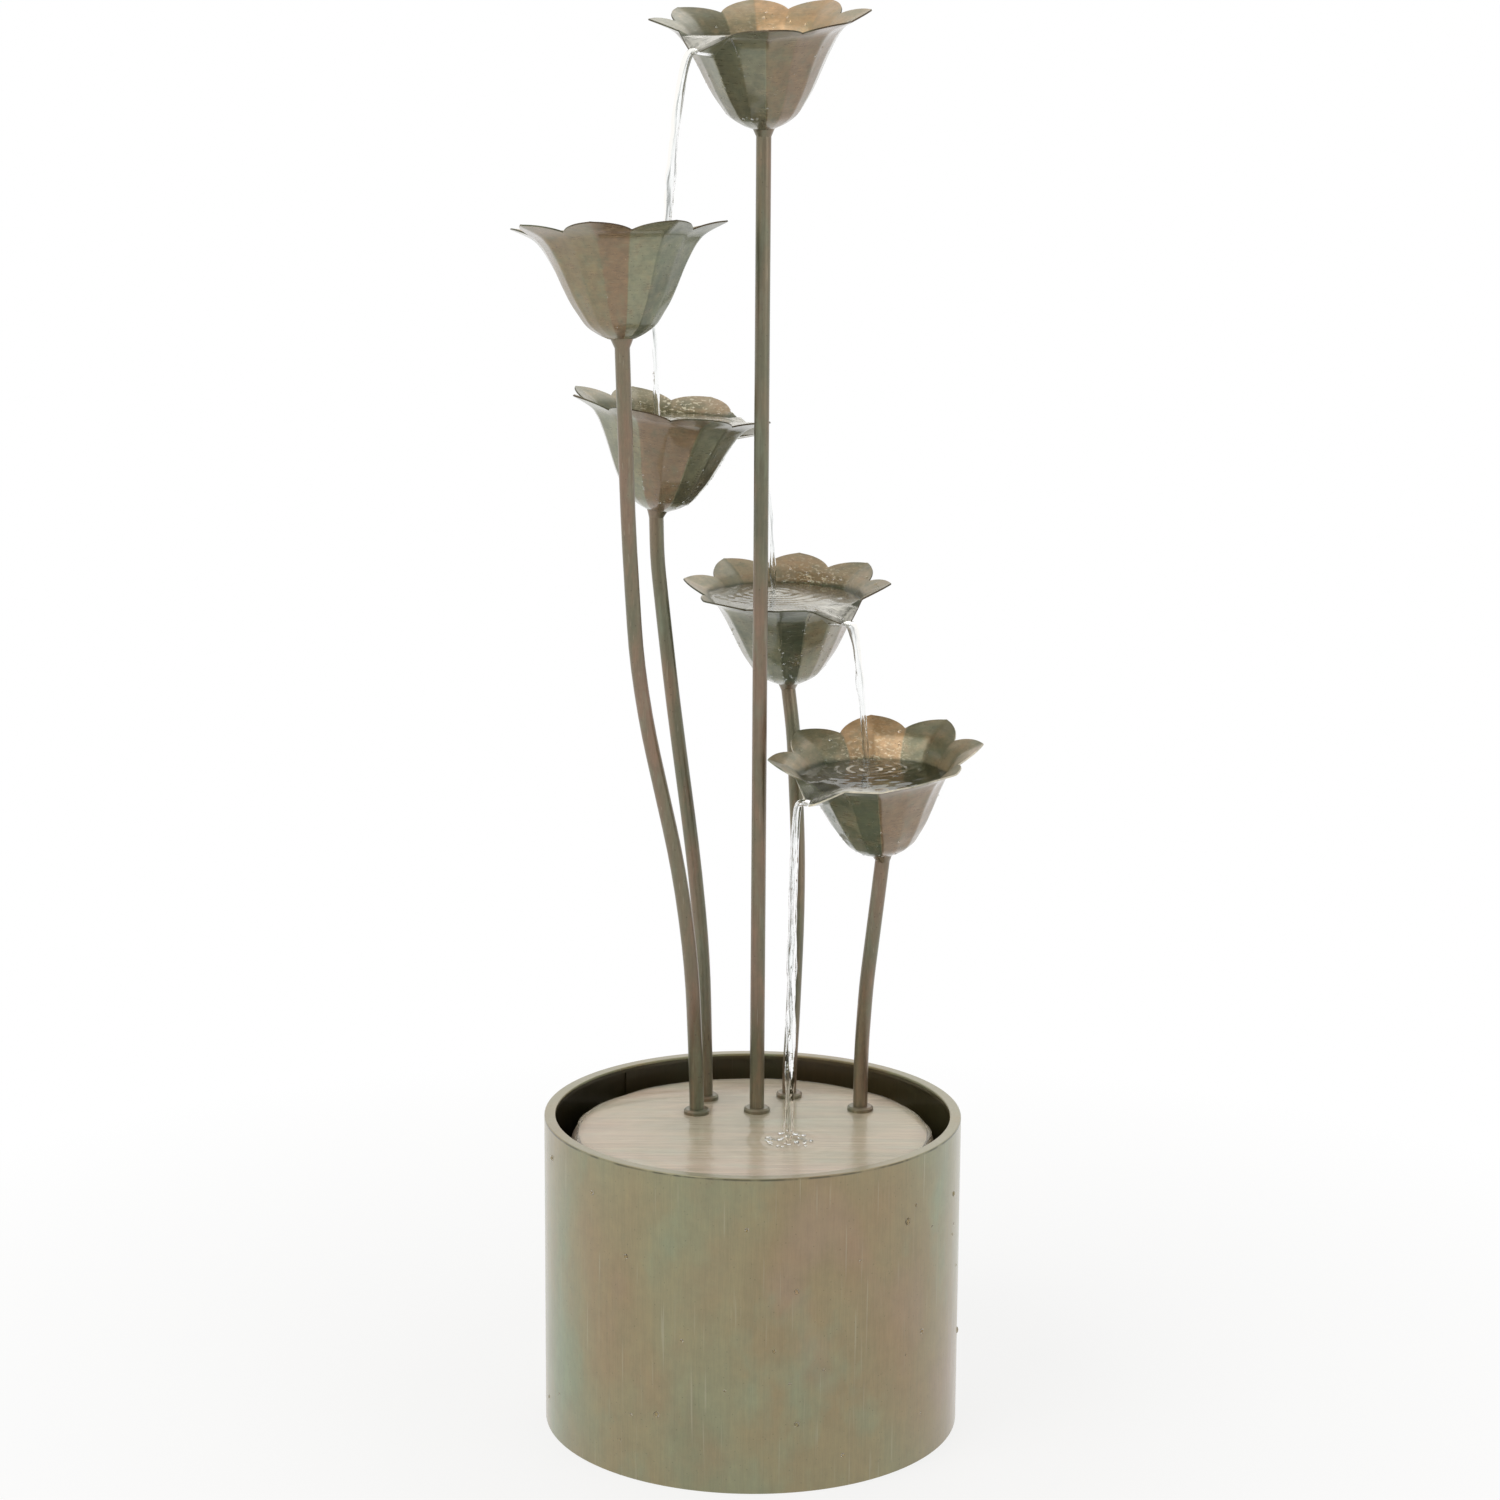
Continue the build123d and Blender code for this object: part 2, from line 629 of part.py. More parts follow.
with BuildPart() as cup_blank:
    for radius, height in ridge:
        with BuildSketch(Plane.XY.offset(height)):
            Polygon(*petal_ring(radius, height), align=None)
    loft(ruled=True)
    for radius, height in lining:
        with BuildSketch(Plane.XY.offset(height)):
            Polygon(*petal_ring(radius, height), align=None)
    loft(ruled=True, mode=Mode.SUBTRACT)
    with BuildSketch(Plane.XY):
        with BuildLine():
            Line(*[ring_point(cup_notch_radius, side * half_petal) for side in (-1, 1)])
            for i in range(1, petal_count):
                middle = 2 * i * half_petal
                start, end = [ring_point(cup_notch_radius, middle + side * half_petal) for side in (-1, 1)]
                ThreePointArc(start, ring_point(cup_tip_radius, middle), end)
        make_face()
    extrude(amount=cup_tip_height + overrun, mode=Mode.INTERSECT)
    with BuildSketch(Plane(origin=lip_fold - gap_normal * overrun, x_dir=(1, 0, 0), z_dir=gap_normal)):
        Polygon(
            (0, 0),
            (notch_half_gap, notch_rise.length),
            (notch_half_gap, 2 * notch_rise.length),
            (-notch_half_gap, 2 * notch_rise.length),
            (-notch_half_gap, notch_rise.length),
            align=None,
        )
    extrude(amount=2 * overrun, mode=Mode.SUBTRACT)
    for notch, side in zip(notches, (-1, 1)):
        under_lip = (notch - lip_fold).cross(lip_tip - lip_fold).normalized() * side * cup_sheet
        mitre = Vector(0, under_lip.Y, under_lip.Z) * (cup_sheet**2 / (under_lip.Y**2 + under_lip.Z**2))
        root = lip_fold * lip_root_share
        ConvexPolyhedron([root, notch, lip_tip, root + mitre, notch + under_lip, lip_tip + mitre])
    with BuildSketch(Plane.XY):
        Circle(stud_radius + stud_hole_clearance)
    extrude(amount=cup_floor_thickness + overrun, mode=Mode.SUBTRACT)


def make_cup(flower):
    # Copy of the cup on its own leaning plane
    with BuildPart(cup_plane(flower)) as cup:
        add(cup_blank.part)
    cup.part.label = "cup_" + flower["name"]
    return cup.part


stems = [make_stem(flower) for flower in flowers]
cups = [make_cup(flower) for flower in flowers]

# Ferrules: a spigot in the stem's end, a cone under the cup and a threaded stud through its floor. The top one is
# bored for the water.
ferrule_parts = []
for flower in flowers:
    under_cup = cup_plane(flower)
    last, end = stem_corners(flower)[-2:]
    stem_top = Plane(origin=end, z_dir=end - last)
    with BuildPart() as ferrule:
        with BuildSketch(stem_top.offset(-ferrule_spigot)):
            Circle(stem_bore_radius - ferrule_spigot_clearance)
        extrude(amount=ferrule_spigot)
        with BuildSketch(stem_top):
            Circle(stem_radius)
        with BuildSketch(under_cup):
            Circle(cup_floor_radius - cup_sheet)
        loft(ruled=True)
        with BuildSketch(under_cup):
            Circle(stud_radius)
        extrude(amount=stud_height)
        if flower is flowers[0]:
            with BuildSketch(stem_top.offset(-ferrule_spigot)):
                Circle(stud_water_bore)
            extrude(amount=ferrule_spigot + ferrule_cone_height / 2, mode=Mode.SUBTRACT)
            with BuildSketch(under_cup.offset(-ferrule_cone_height / 2)):
                Circle(stud_water_bore)
            extrude(amount=ferrule_cone_height / 2 + stud_height, mode=Mode.SUBTRACT)
    ferrule_parts.append(ferrule.part)
with BuildPart() as cup_ferrules:
    add(ferrule_parts)
cup_ferrules.part.label = "cup_ferrules"

# Seal washers on the cups' floors, round the studs
with BuildPart() as cup_seals:
    for flower in flowers:
        with BuildSketch(cup_plane(flower).offset(cup_floor_thickness)):
            Circle(cup_seal_radius)
            Circle(stud_radius + stem_thread_clearance, mode=Mode.SUBTRACT)
    extrude(amount=cup_seal_sheet)
cup_seals.part.label = "cup_seals"

# Hexagon nuts that hold the cups down
with BuildPart() as cup_nuts:
    for flower in flowers:
        with BuildSketch(cup_plane(flower).offset(cup_floor_thickness + cup_seal_sheet)):
            RegularPolygon(cup_nut_flats / 2, 6, major_radius=False)
            Circle(stud_radius + stem_thread_clearance, mode=Mode.SUBTRACT)
    extrude(amount=cup_nut_height)
cup_nuts.part.label = "cup_nuts"

feet = [flower["foot"] for flower in flowers]

# Deck plate: a flat disc with a rounded edge and a short skirt, pierced for the stems
with BuildPart() as deck_plate:
    with BuildSketch(Plane.XY.offset(skirt_bottom)):
        Circle(deck_radius)
    extrude(amount=deck_skirt)
    fillet(deck_plate.edges().filter_by(GeomType.CIRCLE).group_by(Axis.Z)[-1], deck_edge_radius)
    offset(amount=-deck_sheet, openings=deck_plate.faces().sort_by(Axis.Z)[0])
    with BuildSketch(Plane.XY.offset(deck_under - overrun)):
        with Locations(*feet):
            Circle(stem_radius + stem_hole_clearance)
    extrude(amount=deck_sheet + 2 * overrun, mode=Mode.SUBTRACT)
deck_plate.part.label = "deck_plate"

# Foot collars on the deck, one round each stem
with BuildPart() as foot_collars:
    with BuildSketch(Plane.XY.offset(deck_top)):
        with Locations(*feet):
            Circle(collar_radius)
            Circle(stem_radius + stem_thread_clearance, mode=Mode.SUBTRACT)
    extrude(amount=collar_height)
    rim_edges = foot_collars.edges().filter_by(GeomType.CIRCLE).group_by(Axis.Z)[-1]
    chamfer([edge for edge in rim_edges if edge.radius > stem_radius + collar_edge], collar_edge)
foot_collars.part.label = "foot_collars"

# Washers and hexagon nuts under the deck
with BuildPart() as deck_washers:
    with BuildSketch(Plane.XY.offset(deck_under)):
        with Locations(*feet):
            Circle(deck_washer_radius)
            Circle(stem_radius + stem_hole_clearance, mode=Mode.SUBTRACT)
    extrude(amount=-deck_washer_sheet)
deck_washers.part.label = "deck_washers"

with BuildPart() as deck_nuts:
    with BuildSketch(Plane.XY.offset(deck_under - deck_washer_sheet)):
        with Locations(*feet):
            RegularPolygon(deck_nut_flats / 2, 6, major_radius=False)
            Circle(stem_radius + stem_thread_clearance, mode=Mode.SUBTRACT)
    extrude(amount=-deck_nut_height)
deck_nuts.part.label = "deck_nuts"

# Supply hose from the main stem's tail down over the pump's outlet
hose_top = deck_under - deck_washer_sheet - deck_nut_height - hose_top_gap
with BuildPart() as supply_hose:
    with BuildSketch(Plane.XY.offset(hose_bottom)):
        with Locations((pump_x, pump_y)):
            Circle(hose_radius)
            Circle(hose_bore_radius, mode=Mode.SUBTRACT)
    extrude(amount=hose_top - hose_bottom)
supply_hose.part.label = "supply_hose"

# Clamp band with its screw, round the hose on the stem's tail
with BuildPart() as hose_clamp:
    with BuildSketch(Plane.XY.offset(hose_top - clamp_drop)):
        with Locations((pump_x, pump_y)):
            Circle(hose_radius + clamp_sheet)
            with Locations((hose_radius + clamp_screw_radius, 0)):
                Rectangle(2 * clamp_screw_radius, clamp_screw_length)
            Circle(hose_radius, mode=Mode.SUBTRACT)
    extrude(amount=-clamp_width)
hose_clamp.part.label = "hose_clamp"

builders = [
    basin_wall, basin_floor, wall_seam, deck_brackets, cord_grommet, pump_housing, pump_stator, pump_back_plate,
    cord_gland, pump_outlet, volute_cover, shaft_bushes, impeller_shaft, impeller, suction_cups, intake_cover,
    filter_sponge, flow_dial, cup_ferrules, cup_seals, cup_nuts, deck_plate, foot_collars, deck_washers, deck_nuts,
    supply_hose, hose_clamp,
]
os.makedirs("parts", exist_ok=True)
for piece in [builder.part for builder in builders] + stems + cups:
    export_step(piece, "parts/" + piece.label + ".step")
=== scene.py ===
import json
from math import pi, radians
import bmesh
import bpy
import numpy as np
from mathutils import Matrix, Vector


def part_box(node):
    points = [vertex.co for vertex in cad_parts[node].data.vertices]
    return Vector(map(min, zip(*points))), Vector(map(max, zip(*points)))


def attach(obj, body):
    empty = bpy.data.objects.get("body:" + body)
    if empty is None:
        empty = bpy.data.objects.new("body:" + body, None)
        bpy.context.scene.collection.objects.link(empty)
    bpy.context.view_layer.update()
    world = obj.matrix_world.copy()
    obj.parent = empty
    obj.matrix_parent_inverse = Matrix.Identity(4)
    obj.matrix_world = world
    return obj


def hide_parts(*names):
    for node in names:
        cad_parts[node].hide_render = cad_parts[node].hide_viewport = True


# Tiered metal fountain: finish of the round basin, deck and stems, petal cups beaten from sheet, and the water
# that stands in them and falls from one to the next. Metres, +Z up, front towards -Y.

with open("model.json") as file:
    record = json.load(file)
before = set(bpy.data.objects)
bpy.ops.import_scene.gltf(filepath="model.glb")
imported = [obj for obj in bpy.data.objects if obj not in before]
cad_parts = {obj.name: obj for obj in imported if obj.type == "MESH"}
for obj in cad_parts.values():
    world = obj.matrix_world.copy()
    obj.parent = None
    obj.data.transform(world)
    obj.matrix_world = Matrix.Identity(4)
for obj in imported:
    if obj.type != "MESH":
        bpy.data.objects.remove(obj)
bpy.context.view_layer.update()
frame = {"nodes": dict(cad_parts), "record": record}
nodes = frame["nodes"]
mm = 0.001
print("frame loaded:", len(nodes), "nodes")


def addObject(name, data):
    # Links a new object at the origin
    obj = bpy.data.objects.new(name, data)
    bpy.context.scene.collection.objects.link(obj)
    return obj


# Camera

camera = {
    "place": (0, -2.4456, 1.0164), "pitchDown": 0.2100, "turn": 0.0015, "roll": 0.0066,  # metres, radians
    "focalPixels": 3545.7, "framePixels": 1500, "sensor": 36.0,
}


def makeCamera():
    # Lens = focal length in pixels / picture's width in pixels x sensor's width
    data = bpy.data.cameras.new("photoCamera")
    data.sensor_width = camera["sensor"]
    data.lens = camera["focalPixels"] / camera["framePixels"] * camera["sensor"]
    obj = addObject("photoCamera", data)
    turn = Matrix.Rotation(camera["turn"], 4, "Z")
    tilt = Matrix.Rotation(pi / 2 - camera["pitchDown"], 4, "X")
    roll = Matrix.Rotation(camera["roll"], 4, "Z")
    obj.matrix_world = Matrix.Translation(camera["place"]) @ turn @ tilt @ roll
    bpy.context.scene.camera = obj


makeCamera()
bpy.context.scene.view_settings.view_transform = "Standard"
print("camera placed")

# Node helpers


class Shader:
    # The node tree of a material or world, with short calls for the nodes that the finishes share
    def __init__(self, owner, ending="OutputMaterial"):
        self.owner = owner
        owner.use_nodes = True
        self.tree = owner.node_tree
        self.tree.nodes.clear()
        self.output = self.tree.nodes.new("ShaderNode" + ending)
        coords = self.tree.nodes.new("ShaderNodeTexCoord").outputs
        self.objectCoords, self.uvCoords, self.outward = coords["Object"], coords["UV"], coords["Generated"]

    def node(self, kind, inputs, output=0, **settings):
        # Adds a node: a socket takes another node's output, or a plain value set on the socket itself
        node = self.tree.nodes.new("ShaderNode" + kind)
        for name, value in settings.items():
            setattr(node, name, value)
        for key, value in inputs.items():
            socket = node.inputs[key]
            if hasattr(value, "is_output"):
                self.tree.links.new(value, socket)
            elif value is not None:
                socket.default_value = (*value, 1) if socket.type == "RGBA" else value
        return node.outputs[output]

    def noise(self, coords, perMetre, detail=2.0, roughness=0.5, shift=0.0, distortion=0.0):
        # Noise, stretched where perMetre has three values: how many features lie in a metre, or in one UV unit
        scale = perMetre if isinstance(perMetre, tuple) else (perMetre,) * 3
        aside = (shift, 1.7 * shift, 0.6 * shift)
        place = self.node("Mapping", {"Vector": coords, "Scale": scale, "Location": aside})
        grain = {"Detail": detail, "Roughness": roughness, "Distortion": distortion}
        return self.node("TexNoise", {"Vector": place, "Scale": 1.0, **grain}, "Fac")

    def cells(self, coords, perMetre):
        # Distance to the nearest of scattered points, 0 at each point
        place = self.node("Mapping", {"Vector": coords, "Scale": (perMetre,) * 3})
        return self.node("TexVoronoi", {"Vector": place, "Scale": 1.0}, "Distance")

    def ramp(self, value, stops):
        # Colour, or a grey level, blended between stops
        node = self.tree.nodes.new("ShaderNodeValToRGB")
        self.tree.links.new(value, node.inputs["Fac"])
        elements = node.color_ramp.elements
        while len(elements) < len(stops):
            elements.new(0.5)
        for element, (place, colour) in zip(elements, stops):
            element.position = place
            element.color = (*colour, 1) if isinstance(colour, tuple) else (colour, colour, colour, 1)
        return node.outputs["Color"]

    def mix(self, share, first, second, blend="MIX"):
        # Colour a share of the way from first to its blend with second
        return self.node("Mix", {0: share, 6: first, 7: second}, 2, data_type="RGBA", blend_type=blend)

    def mixShader(self, share, first, second):
        # Shader a share of the way from first to second
        return self.node("MixShader", {0: share, 1: first, 2: second}, "Shader")

    def math(self, operation, first, second=0.0):
        # Result of a sum on two numbers, or on the first alone
        return self.node("Math", {0: first, 1: second}, operation=operation)

    def times(self, product, *factors):
        # Product of all its numbers
        for factor in factors:
            product = self.math("MULTIPLY", product, factor)
        return product

    def span(self, value, low, high, toLow=0.0, toHigh=1.0, curve="LINEAR"):
        # Value from low to high carried to toLow to toHigh, and held beyond them
        sockets = {"Value": value, "From Min": low, "From Max": high, "To Min": toLow, "To Max": toHigh}
        return self.node("MapRange", sockets, "Result", interpolation_type=curve)

    def part(self, vector, axis):
        # X, Y or Z of a vector
        return self.node("SeparateXYZ", {0: vector}, axis)

    def length(self, vector, scale=(1, 1, 1)):
        # Length of a vector after each axis is scaled
        scaledVector = self.node("VectorMath", {0: vector, 1: scale}, "Vector", operation="MULTIPLY")
        return self.node("VectorMath", {0: scaledVector}, "Value", operation="LENGTH")

    def attribute(self, name):
        # Number that the mesh carries under this name
        return self.node("Attribute", {}, "Fac", attribute_name=name)

    def rays(self, *kinds):
        # 1 for rays of any of these kinds
        path = self.tree.nodes.new("ShaderNodeLightPath").outputs
        seen = path[kinds[0]]
        for kind in kinds[1:]:
            seen = self.math("MAXIMUM", seen, path[kind])
        return seen

    def bump(self, height, distance, strength=1.0, normal=None):
        # Normal tilted by the slope of height x distance
        return self.node("Bump", {"Height": height, "Distance": distance, "Strength": strength, "Normal": normal})

    def principled(self, **sockets):
        # Sockets by name, with _ for a space
        named = {name.replace("_", " "): value for name, value in sockets.items()}
        return self.node("BsdfPrincipled", named, "BSDF")

    def surface(self, shader):
        # Ends the tree and gives back its material or world
        self.tree.links.new(shader, self.output.inputs["Surface"])
        return self.owner


def materialShader(name):
    # Empty node tree of a new material
    return Shader(bpy.data.materials.new(name))


def scaled(tone, share):
    # Tone with each part times a share
    return tuple(share * part for part in tone)


# Patina: brushed sheet steel under a green, khaki and copper-brown finish

# Painted shade inside the basin's wall, a painted shadow line under the rim's edge, and a paler flat top
rim = {
    "radius": 148.9 * mm, "top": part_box("basin_wall")[1].z, "soft": 0.2 * mm, "shadeBelow": (2.0 * mm, 1.4 * mm),
    "shadeTone": (0.34, 0.30, 0.22), "darkShare": 0.35, "litSpan": (-0.14, 0.12), "flatTone": (0.365, 0.330, 0.235),
    "flatBelow": (0.3 * mm, 0.1 * mm), "flatSpan": (0.38, 0.62), "flatShares": (0.25, 0.95), "lineShare": 0.25,
    "lineStarts": (2.0 * mm, 1.2 * mm), "lineEnds": (0.7 * mm, 0.3 * mm), "lineOutside": (0.4 * mm, 0.8 * mm),
    "breakGrain": 60, "breakSpan": (0.40, 0.55), "breakShares": (0.15, 0.85),
}


def paintRimShade(s, tone, dark, blotch):
    # Painted shade: inside the wall and under the rim's top the tone is multiplied by shadeTone, and by a share of
    # it on the left, where less light falls in. The flat top is paler in patches, and a broken dark line of painted
    # shadow runs under its edge.
    away, height = s.length(s.objectCoords, (1, 1, 0)), s.part(s.objectCoords, "Z")

    def below(depths, *ends):
        # Share that goes from one end to the other between two depths under the top
        return s.span(height, rim["top"] - depths[0], rim["top"] - depths[1], *ends)

    inside = s.span(away, rim["radius"], rim["radius"] + rim["soft"], 1.0, 0.0)
    lit = s.span(s.part(s.objectCoords, "X"), *rim["litSpan"])
    shadeTone = s.mix(lit, scaled(rim["shadeTone"], rim["darkShare"]), rim["shadeTone"])
    tone = s.mix(s.times(inside, below(rim["shadeBelow"], 1.0, 0.0)), tone, shadeTone, "MULTIPLY")
    flat = s.times(below(rim["flatBelow"]), s.span(blotch, *rim["flatSpan"], *rim["flatShares"]))
    tone = s.mix(flat, tone, rim["flatTone"])
    lineBreaks = s.noise(s.objectCoords, rim["breakGrain"], detail=3.0, shift=6.0)
    line = s.times(
        below(rim["lineStarts"]), below(rim["lineEnds"], 1.0, 0.0),
        s.span(away, *(rim["radius"] + reach for reach in rim["lineOutside"])),
        s.span(lineBreaks, *rim["breakSpan"], *rim["breakShares"]),
    )
    return s.mix(line, tone, scaled(dark, rim["lineShare"]))


def patina(name, look):
    # Tone = a slow cloud over five tones, or each facet's tone, which is partly painted light and shade, with
    # verdigris and copper blotches over it, times streaks, fine hair and mottling, then pits and pale scratches,
    # and painted glints and painted shade under water where the look has them. Streaks follow the piece's UV map
    # where it has one, and otherwise the way the sheet was brushed.
    s = materialShader(name)
    coords = s.uvCoords if look.get("onUv") else s.objectCoords
    cloud = s.noise(coords, look["cloud"], detail=3.0, shift=look["shift"])
    blotch = s.noise(coords, look["blotch"], detail=4.0, roughness=0.6, shift=3.1 + look["shift"])
    streak = s.noise(coords, look["streak"], detail=4.0, roughness=0.65, shift=7.7)
    hair = s.noise(coords, look["hair"], detail=2.0, roughness=0.7, shift=1.3)
    mottle = s.noise(s.objectCoords, look["mottle"], detail=5.0, roughness=0.7, shift=2.6)
    scratch = s.noise(coords, look["scratches"], detail=1.0, shift=11.0)
    dents = s.noise(s.objectCoords, look["dents"], detail=1.0, shift=5.0)
    tones = [look[tone] for tone in ("dark", "green", "khaki", "brown", "pink")]
    tone = s.ramp(cloud, list(zip(look["cloudStops"], tones)))
    if look.get("facets"):
        first, second = look["drift"]
        drift = s.math("ADD", s.times(cloud, first), s.times(blotch, second))
        drifted = s.math("ADD", s.attribute(look["facetTones"]), s.math("SUBTRACT", drift, (first + second) / 2))
        tone = s.mix(look["facets"], tone, s.ramp(drifted, list(zip(look["facetStops"], tones[::-1]))))
    for kind in ("verdigris", "copper"):
        tone = s.mix(s.span(blotch, *look[kind + "Span"], 0.0, look[kind + "Share"]), tone, look[kind])
    for grain, kind in ((streak, "streak"), (hair, "hair"), (mottle, "mottle")):
        depth = look["mottleDepth"] if kind == "mottle" else look["streakDepth"]
        tone = s.mix(depth, tone, s.ramp(grain, look[kind + "Stops"]), "MULTIPLY")
    pits = s.span(s.cells(s.objectCoords, look["pits"]), *look["pitSpan"], look["pitDepth"], 0.0)
    tone = s.mix(pits, tone, scaled(look["dark"], look["pitTone"]))
    tone = s.mix(s.span(scratch, *look["scratchSpan"], 0.0, look["scratchShare"]), tone, look["scratchTone"])
    if look.get("paintedGlints"):
        # Painted glints: bright specks and short runs where water splashes
        glint = s.noise(s.objectCoords, look["glintGrain"], detail=3.0, shift=9.0)
        wet = s.times(s.attribute("splash"), look["paintedGlints"], s.span(glint, *look["glintSpan"]))
        tone = s.mix(wet, tone, look["glintTone"])
        # Painted shade under the water and in a band just above it, where the wet metal is also darker
        tone = s.mix(s.attribute("underWater"), tone, look["shadeTone"], "MULTIPLY")
    # Painted shade inside the wall and under the rim, and a painted shadow line under its edge
    if look.get("rimmed"):
        tone = paintRimShade(s, tone, look["dark"], blotch)
    brushing = s.math("ADD", s.times(streak, look["streakHeight"]), s.times(hair, look["hairHeight"]))
    normal = s.bump(brushing, look["brushHeight"], look["brushStrength"])
    return s.surface(s.principled(
        Base_Color=tone, Metallic=look["metallic"], Normal=s.bump(dents, look["dentHeight"], 1.0, normal),
        Roughness=s.span(s.math("ADD", streak, blotch), *look["roughSpan"], *look["roughness"]),
        Coat_Weight=look["coat"], Coat_Roughness=look["coatRoughness"], Coat_IOR=1.45,
    ))


plainPatina = {
    "dark": (0.235, 0.220, 0.122), "green": (0.275, 0.275, 0.160), "khaki": (0.305, 0.262, 0.142),
    "brown": (0.305, 0.240, 0.128), "pink": (0.335, 0.240, 0.142), "cloudStops": (0.26, 0.40, 0.50, 0.60, 0.72),
    "verdigris": (0.270, 0.325, 0.220), "verdigrisSpan": (0.52, 0.70), "verdigrisShare": 0.60,
    "copper": (0.330, 0.205, 0.105), "copperSpan": (0.46, 0.30), "copperShare": 0.40,
    "cloud": (8, 8, 5), "blotch": (15, 15, 9), "streak": (420, 420, 12), "hair": (1500, 1500, 90), "shift": 0.0,
    "streakStops": [(0.28, 0.80), (0.50, 1.0), (0.72, (1.18, 1.17, 1.15))],
    "hairStops": [(0.30, 0.86), (0.70, 1.12)],
    "mottle": 90, "mottleStops": [(0.32, (0.76, 0.78, 0.78)), (0.50, 1.0), (0.68, (1.22, 1.18, 1.12))],
    "mottleDepth": 0.22, "streakDepth": 0.36, "streakHeight": 0.6, "hairHeight": 0.4,
    "scratches": (520, 520, 14), "scratchTone": (0.42, 0.39, 0.28),
    "scratchSpan": (0.68, 0.76), "scratchShare": 0.45,
    "pits": 210, "pitSpan": (0.05, 0.12), "pitDepth": 0.45, "pitTone": 0.45,
    "brushHeight": 0.12 * mm, "brushStrength": 0.5, "dents": 16, "dentHeight": 1.2 * mm,
    "roughSpan": (0.7, 1.3), "roughness": (0.34, 0.52), "metallic": 0.45, "coat": 0.75, "coatRoughness": 0.16,
}
basinPatina = patina("basinPatina", dict(
    plainPatina, rimmed=True, pink=(0.350, 0.245, 0.168), verdigris=(0.268, 0.330, 0.212), verdigrisShare=0.70,
    mottle=70, mottleDepth=0.32,
))
# The deck's tones are pale: partly its own brushed finish and partly painted reflection of the white it mirrors at
# a slant
deckPatina = patina("deckPatina", dict(
    plainPatina, cloud=(5, 16, 8), blotch=(14, 50, 20), streak=(9, 420, 60), hair=(25, 1500, 200),
    dark=(0.42, 0.36, 0.28), green=(0.48, 0.43, 0.33), khaki=(0.54, 0.46, 0.36), brown=(0.56, 0.46, 0.37),
    pink=(0.62, 0.50, 0.41), verdigris=(0.52, 0.52, 0.42), copper=(0.52, 0.39, 0.30), pitDepth=0.3,
    scratches=(14, 520, 60), scratchTone=(0.70, 0.62, 0.52), streakDepth=0.9, mottleDepth=0.2,
    roughness=(0.34, 0.50), coat=0.25, coatRoughness=0.25, brushStrength=0.8,
))
stemPatina = patina("stemPatina", dict(
    plainPatina, cloud=(40, 40, 9), blotch=(90, 90, 22), streak=(700, 700, 12), hair=(2200, 2200, 60),
    dark=(0.105, 0.098, 0.064), green=(0.160, 0.155, 0.098), khaki=(0.195, 0.165, 0.105),
    brown=(0.215, 0.160, 0.105), pink=(0.275, 0.182, 0.128), verdigris=(0.225, 0.260, 0.180),
    copper=(0.320, 0.180, 0.115), scratches=(700, 700, 30), scratchTone=(0.34, 0.30, 0.22), pitDepth=0.6,
    metallic=0.5, roughness=(0.30, 0.46), coat=0.45, streakDepth=0.5, mottle=220,
))
print("patina finishes made")

# Hardware, rubber and plastics

metalLook = {
    "clouds": 180, "cloudStops": (0.30, 0.55, 0.80), "roughSpan": (0.3, 0.7),
    "lineSpan": (0.40, 0.65), "lineShare": 0.30, "lineHeight": 0.05 * mm, "lineStrength": 0.6,
}
plasticLook = {
    "grain": 2600, "grainStrength": 0.7, "clouds": 45, "cloudStops": (0.30, 0.70), "bloomSpan": (0.58, 0.75),
    "roughSpan": (0.7, 1.3),
}
foamLook = {
    "pores": 700, "poreTones": [(0.15, 0.006), (0.45, (0.05, 0.05, 0.048)), (0.8, (0.10, 0.10, 0.09))],
    "poreDepth": 0.8 * mm, "silt": 60, "siltSpan": (0.5, 0.75), "siltShare": 0.5, "siltTone": (0.12, 0.10, 0.07),
    "roughness": 0.95,
}
hoseLook = {
    "lines": (900, 900, 4), "lineHeight": 0.06 * mm, "lineStrength": 0.5, "lime": (80, 80, 30),
    "limeTones": [(0.35, (0.80, 0.84, 0.82)), (0.70, (0.66, 0.66, 0.58))], "limeSpan": (0.3, 0.7),
    "roughness": (0.22, 0.40), "clearness": 0.45, "ior": 1.45,
}


def brushedMetal(name, tone, bright, dull, lines, roughness, metallic):
    # Plated or bare metal: a cloud from dull to bright, with fine dull turning lines
    s = materialShader(name)
    cloud = s.noise(s.objectCoords, metalLook["clouds"], detail=4.0, roughness=0.6)
    turned = s.noise(s.objectCoords, lines, detail=3.0, shift=2.0)
    clouded = s.ramp(cloud, list(zip(metalLook["cloudStops"], (dull, tone, bright))))
    share = s.span(turned, *metalLook["lineSpan"], 0.0, metalLook["lineShare"])
    return s.surface(s.principled(
        Base_Color=s.mix(share, clouded, dull), Metallic=metallic,
        Roughness=s.span(cloud, *metalLook["roughSpan"], *roughness),
        Normal=s.bump(turned, metalLook["lineHeight"], metalLook["lineStrength"]),
    ))


def mouldedPlastic(name, tone, bright, bloom, bloomShare, grainHeight, roughness):
    # Fine spark texture of a moulding with faint flow clouds and lime bloom
    s = materialShader(name)
    grain = s.noise(s.objectCoords, plasticLook["grain"], detail=2.0)
    cloud = s.noise(s.objectCoords, plasticLook["clouds"], detail=4.0, roughness=0.6, shift=4.0)
    clouded = s.ramp(cloud, list(zip(plasticLook["cloudStops"], (tone, bright))))
    return s.surface(s.principled(
        Base_Color=s.mix(s.span(cloud, *plasticLook["bloomSpan"], 0.0, bloomShare), clouded, bloom),
        Roughness=s.span(s.math("ADD", grain, cloud), *plasticLook["roughSpan"], *roughness),
        Normal=s.bump(grain, grainHeight, plasticLook["grainStrength"]),
    ))


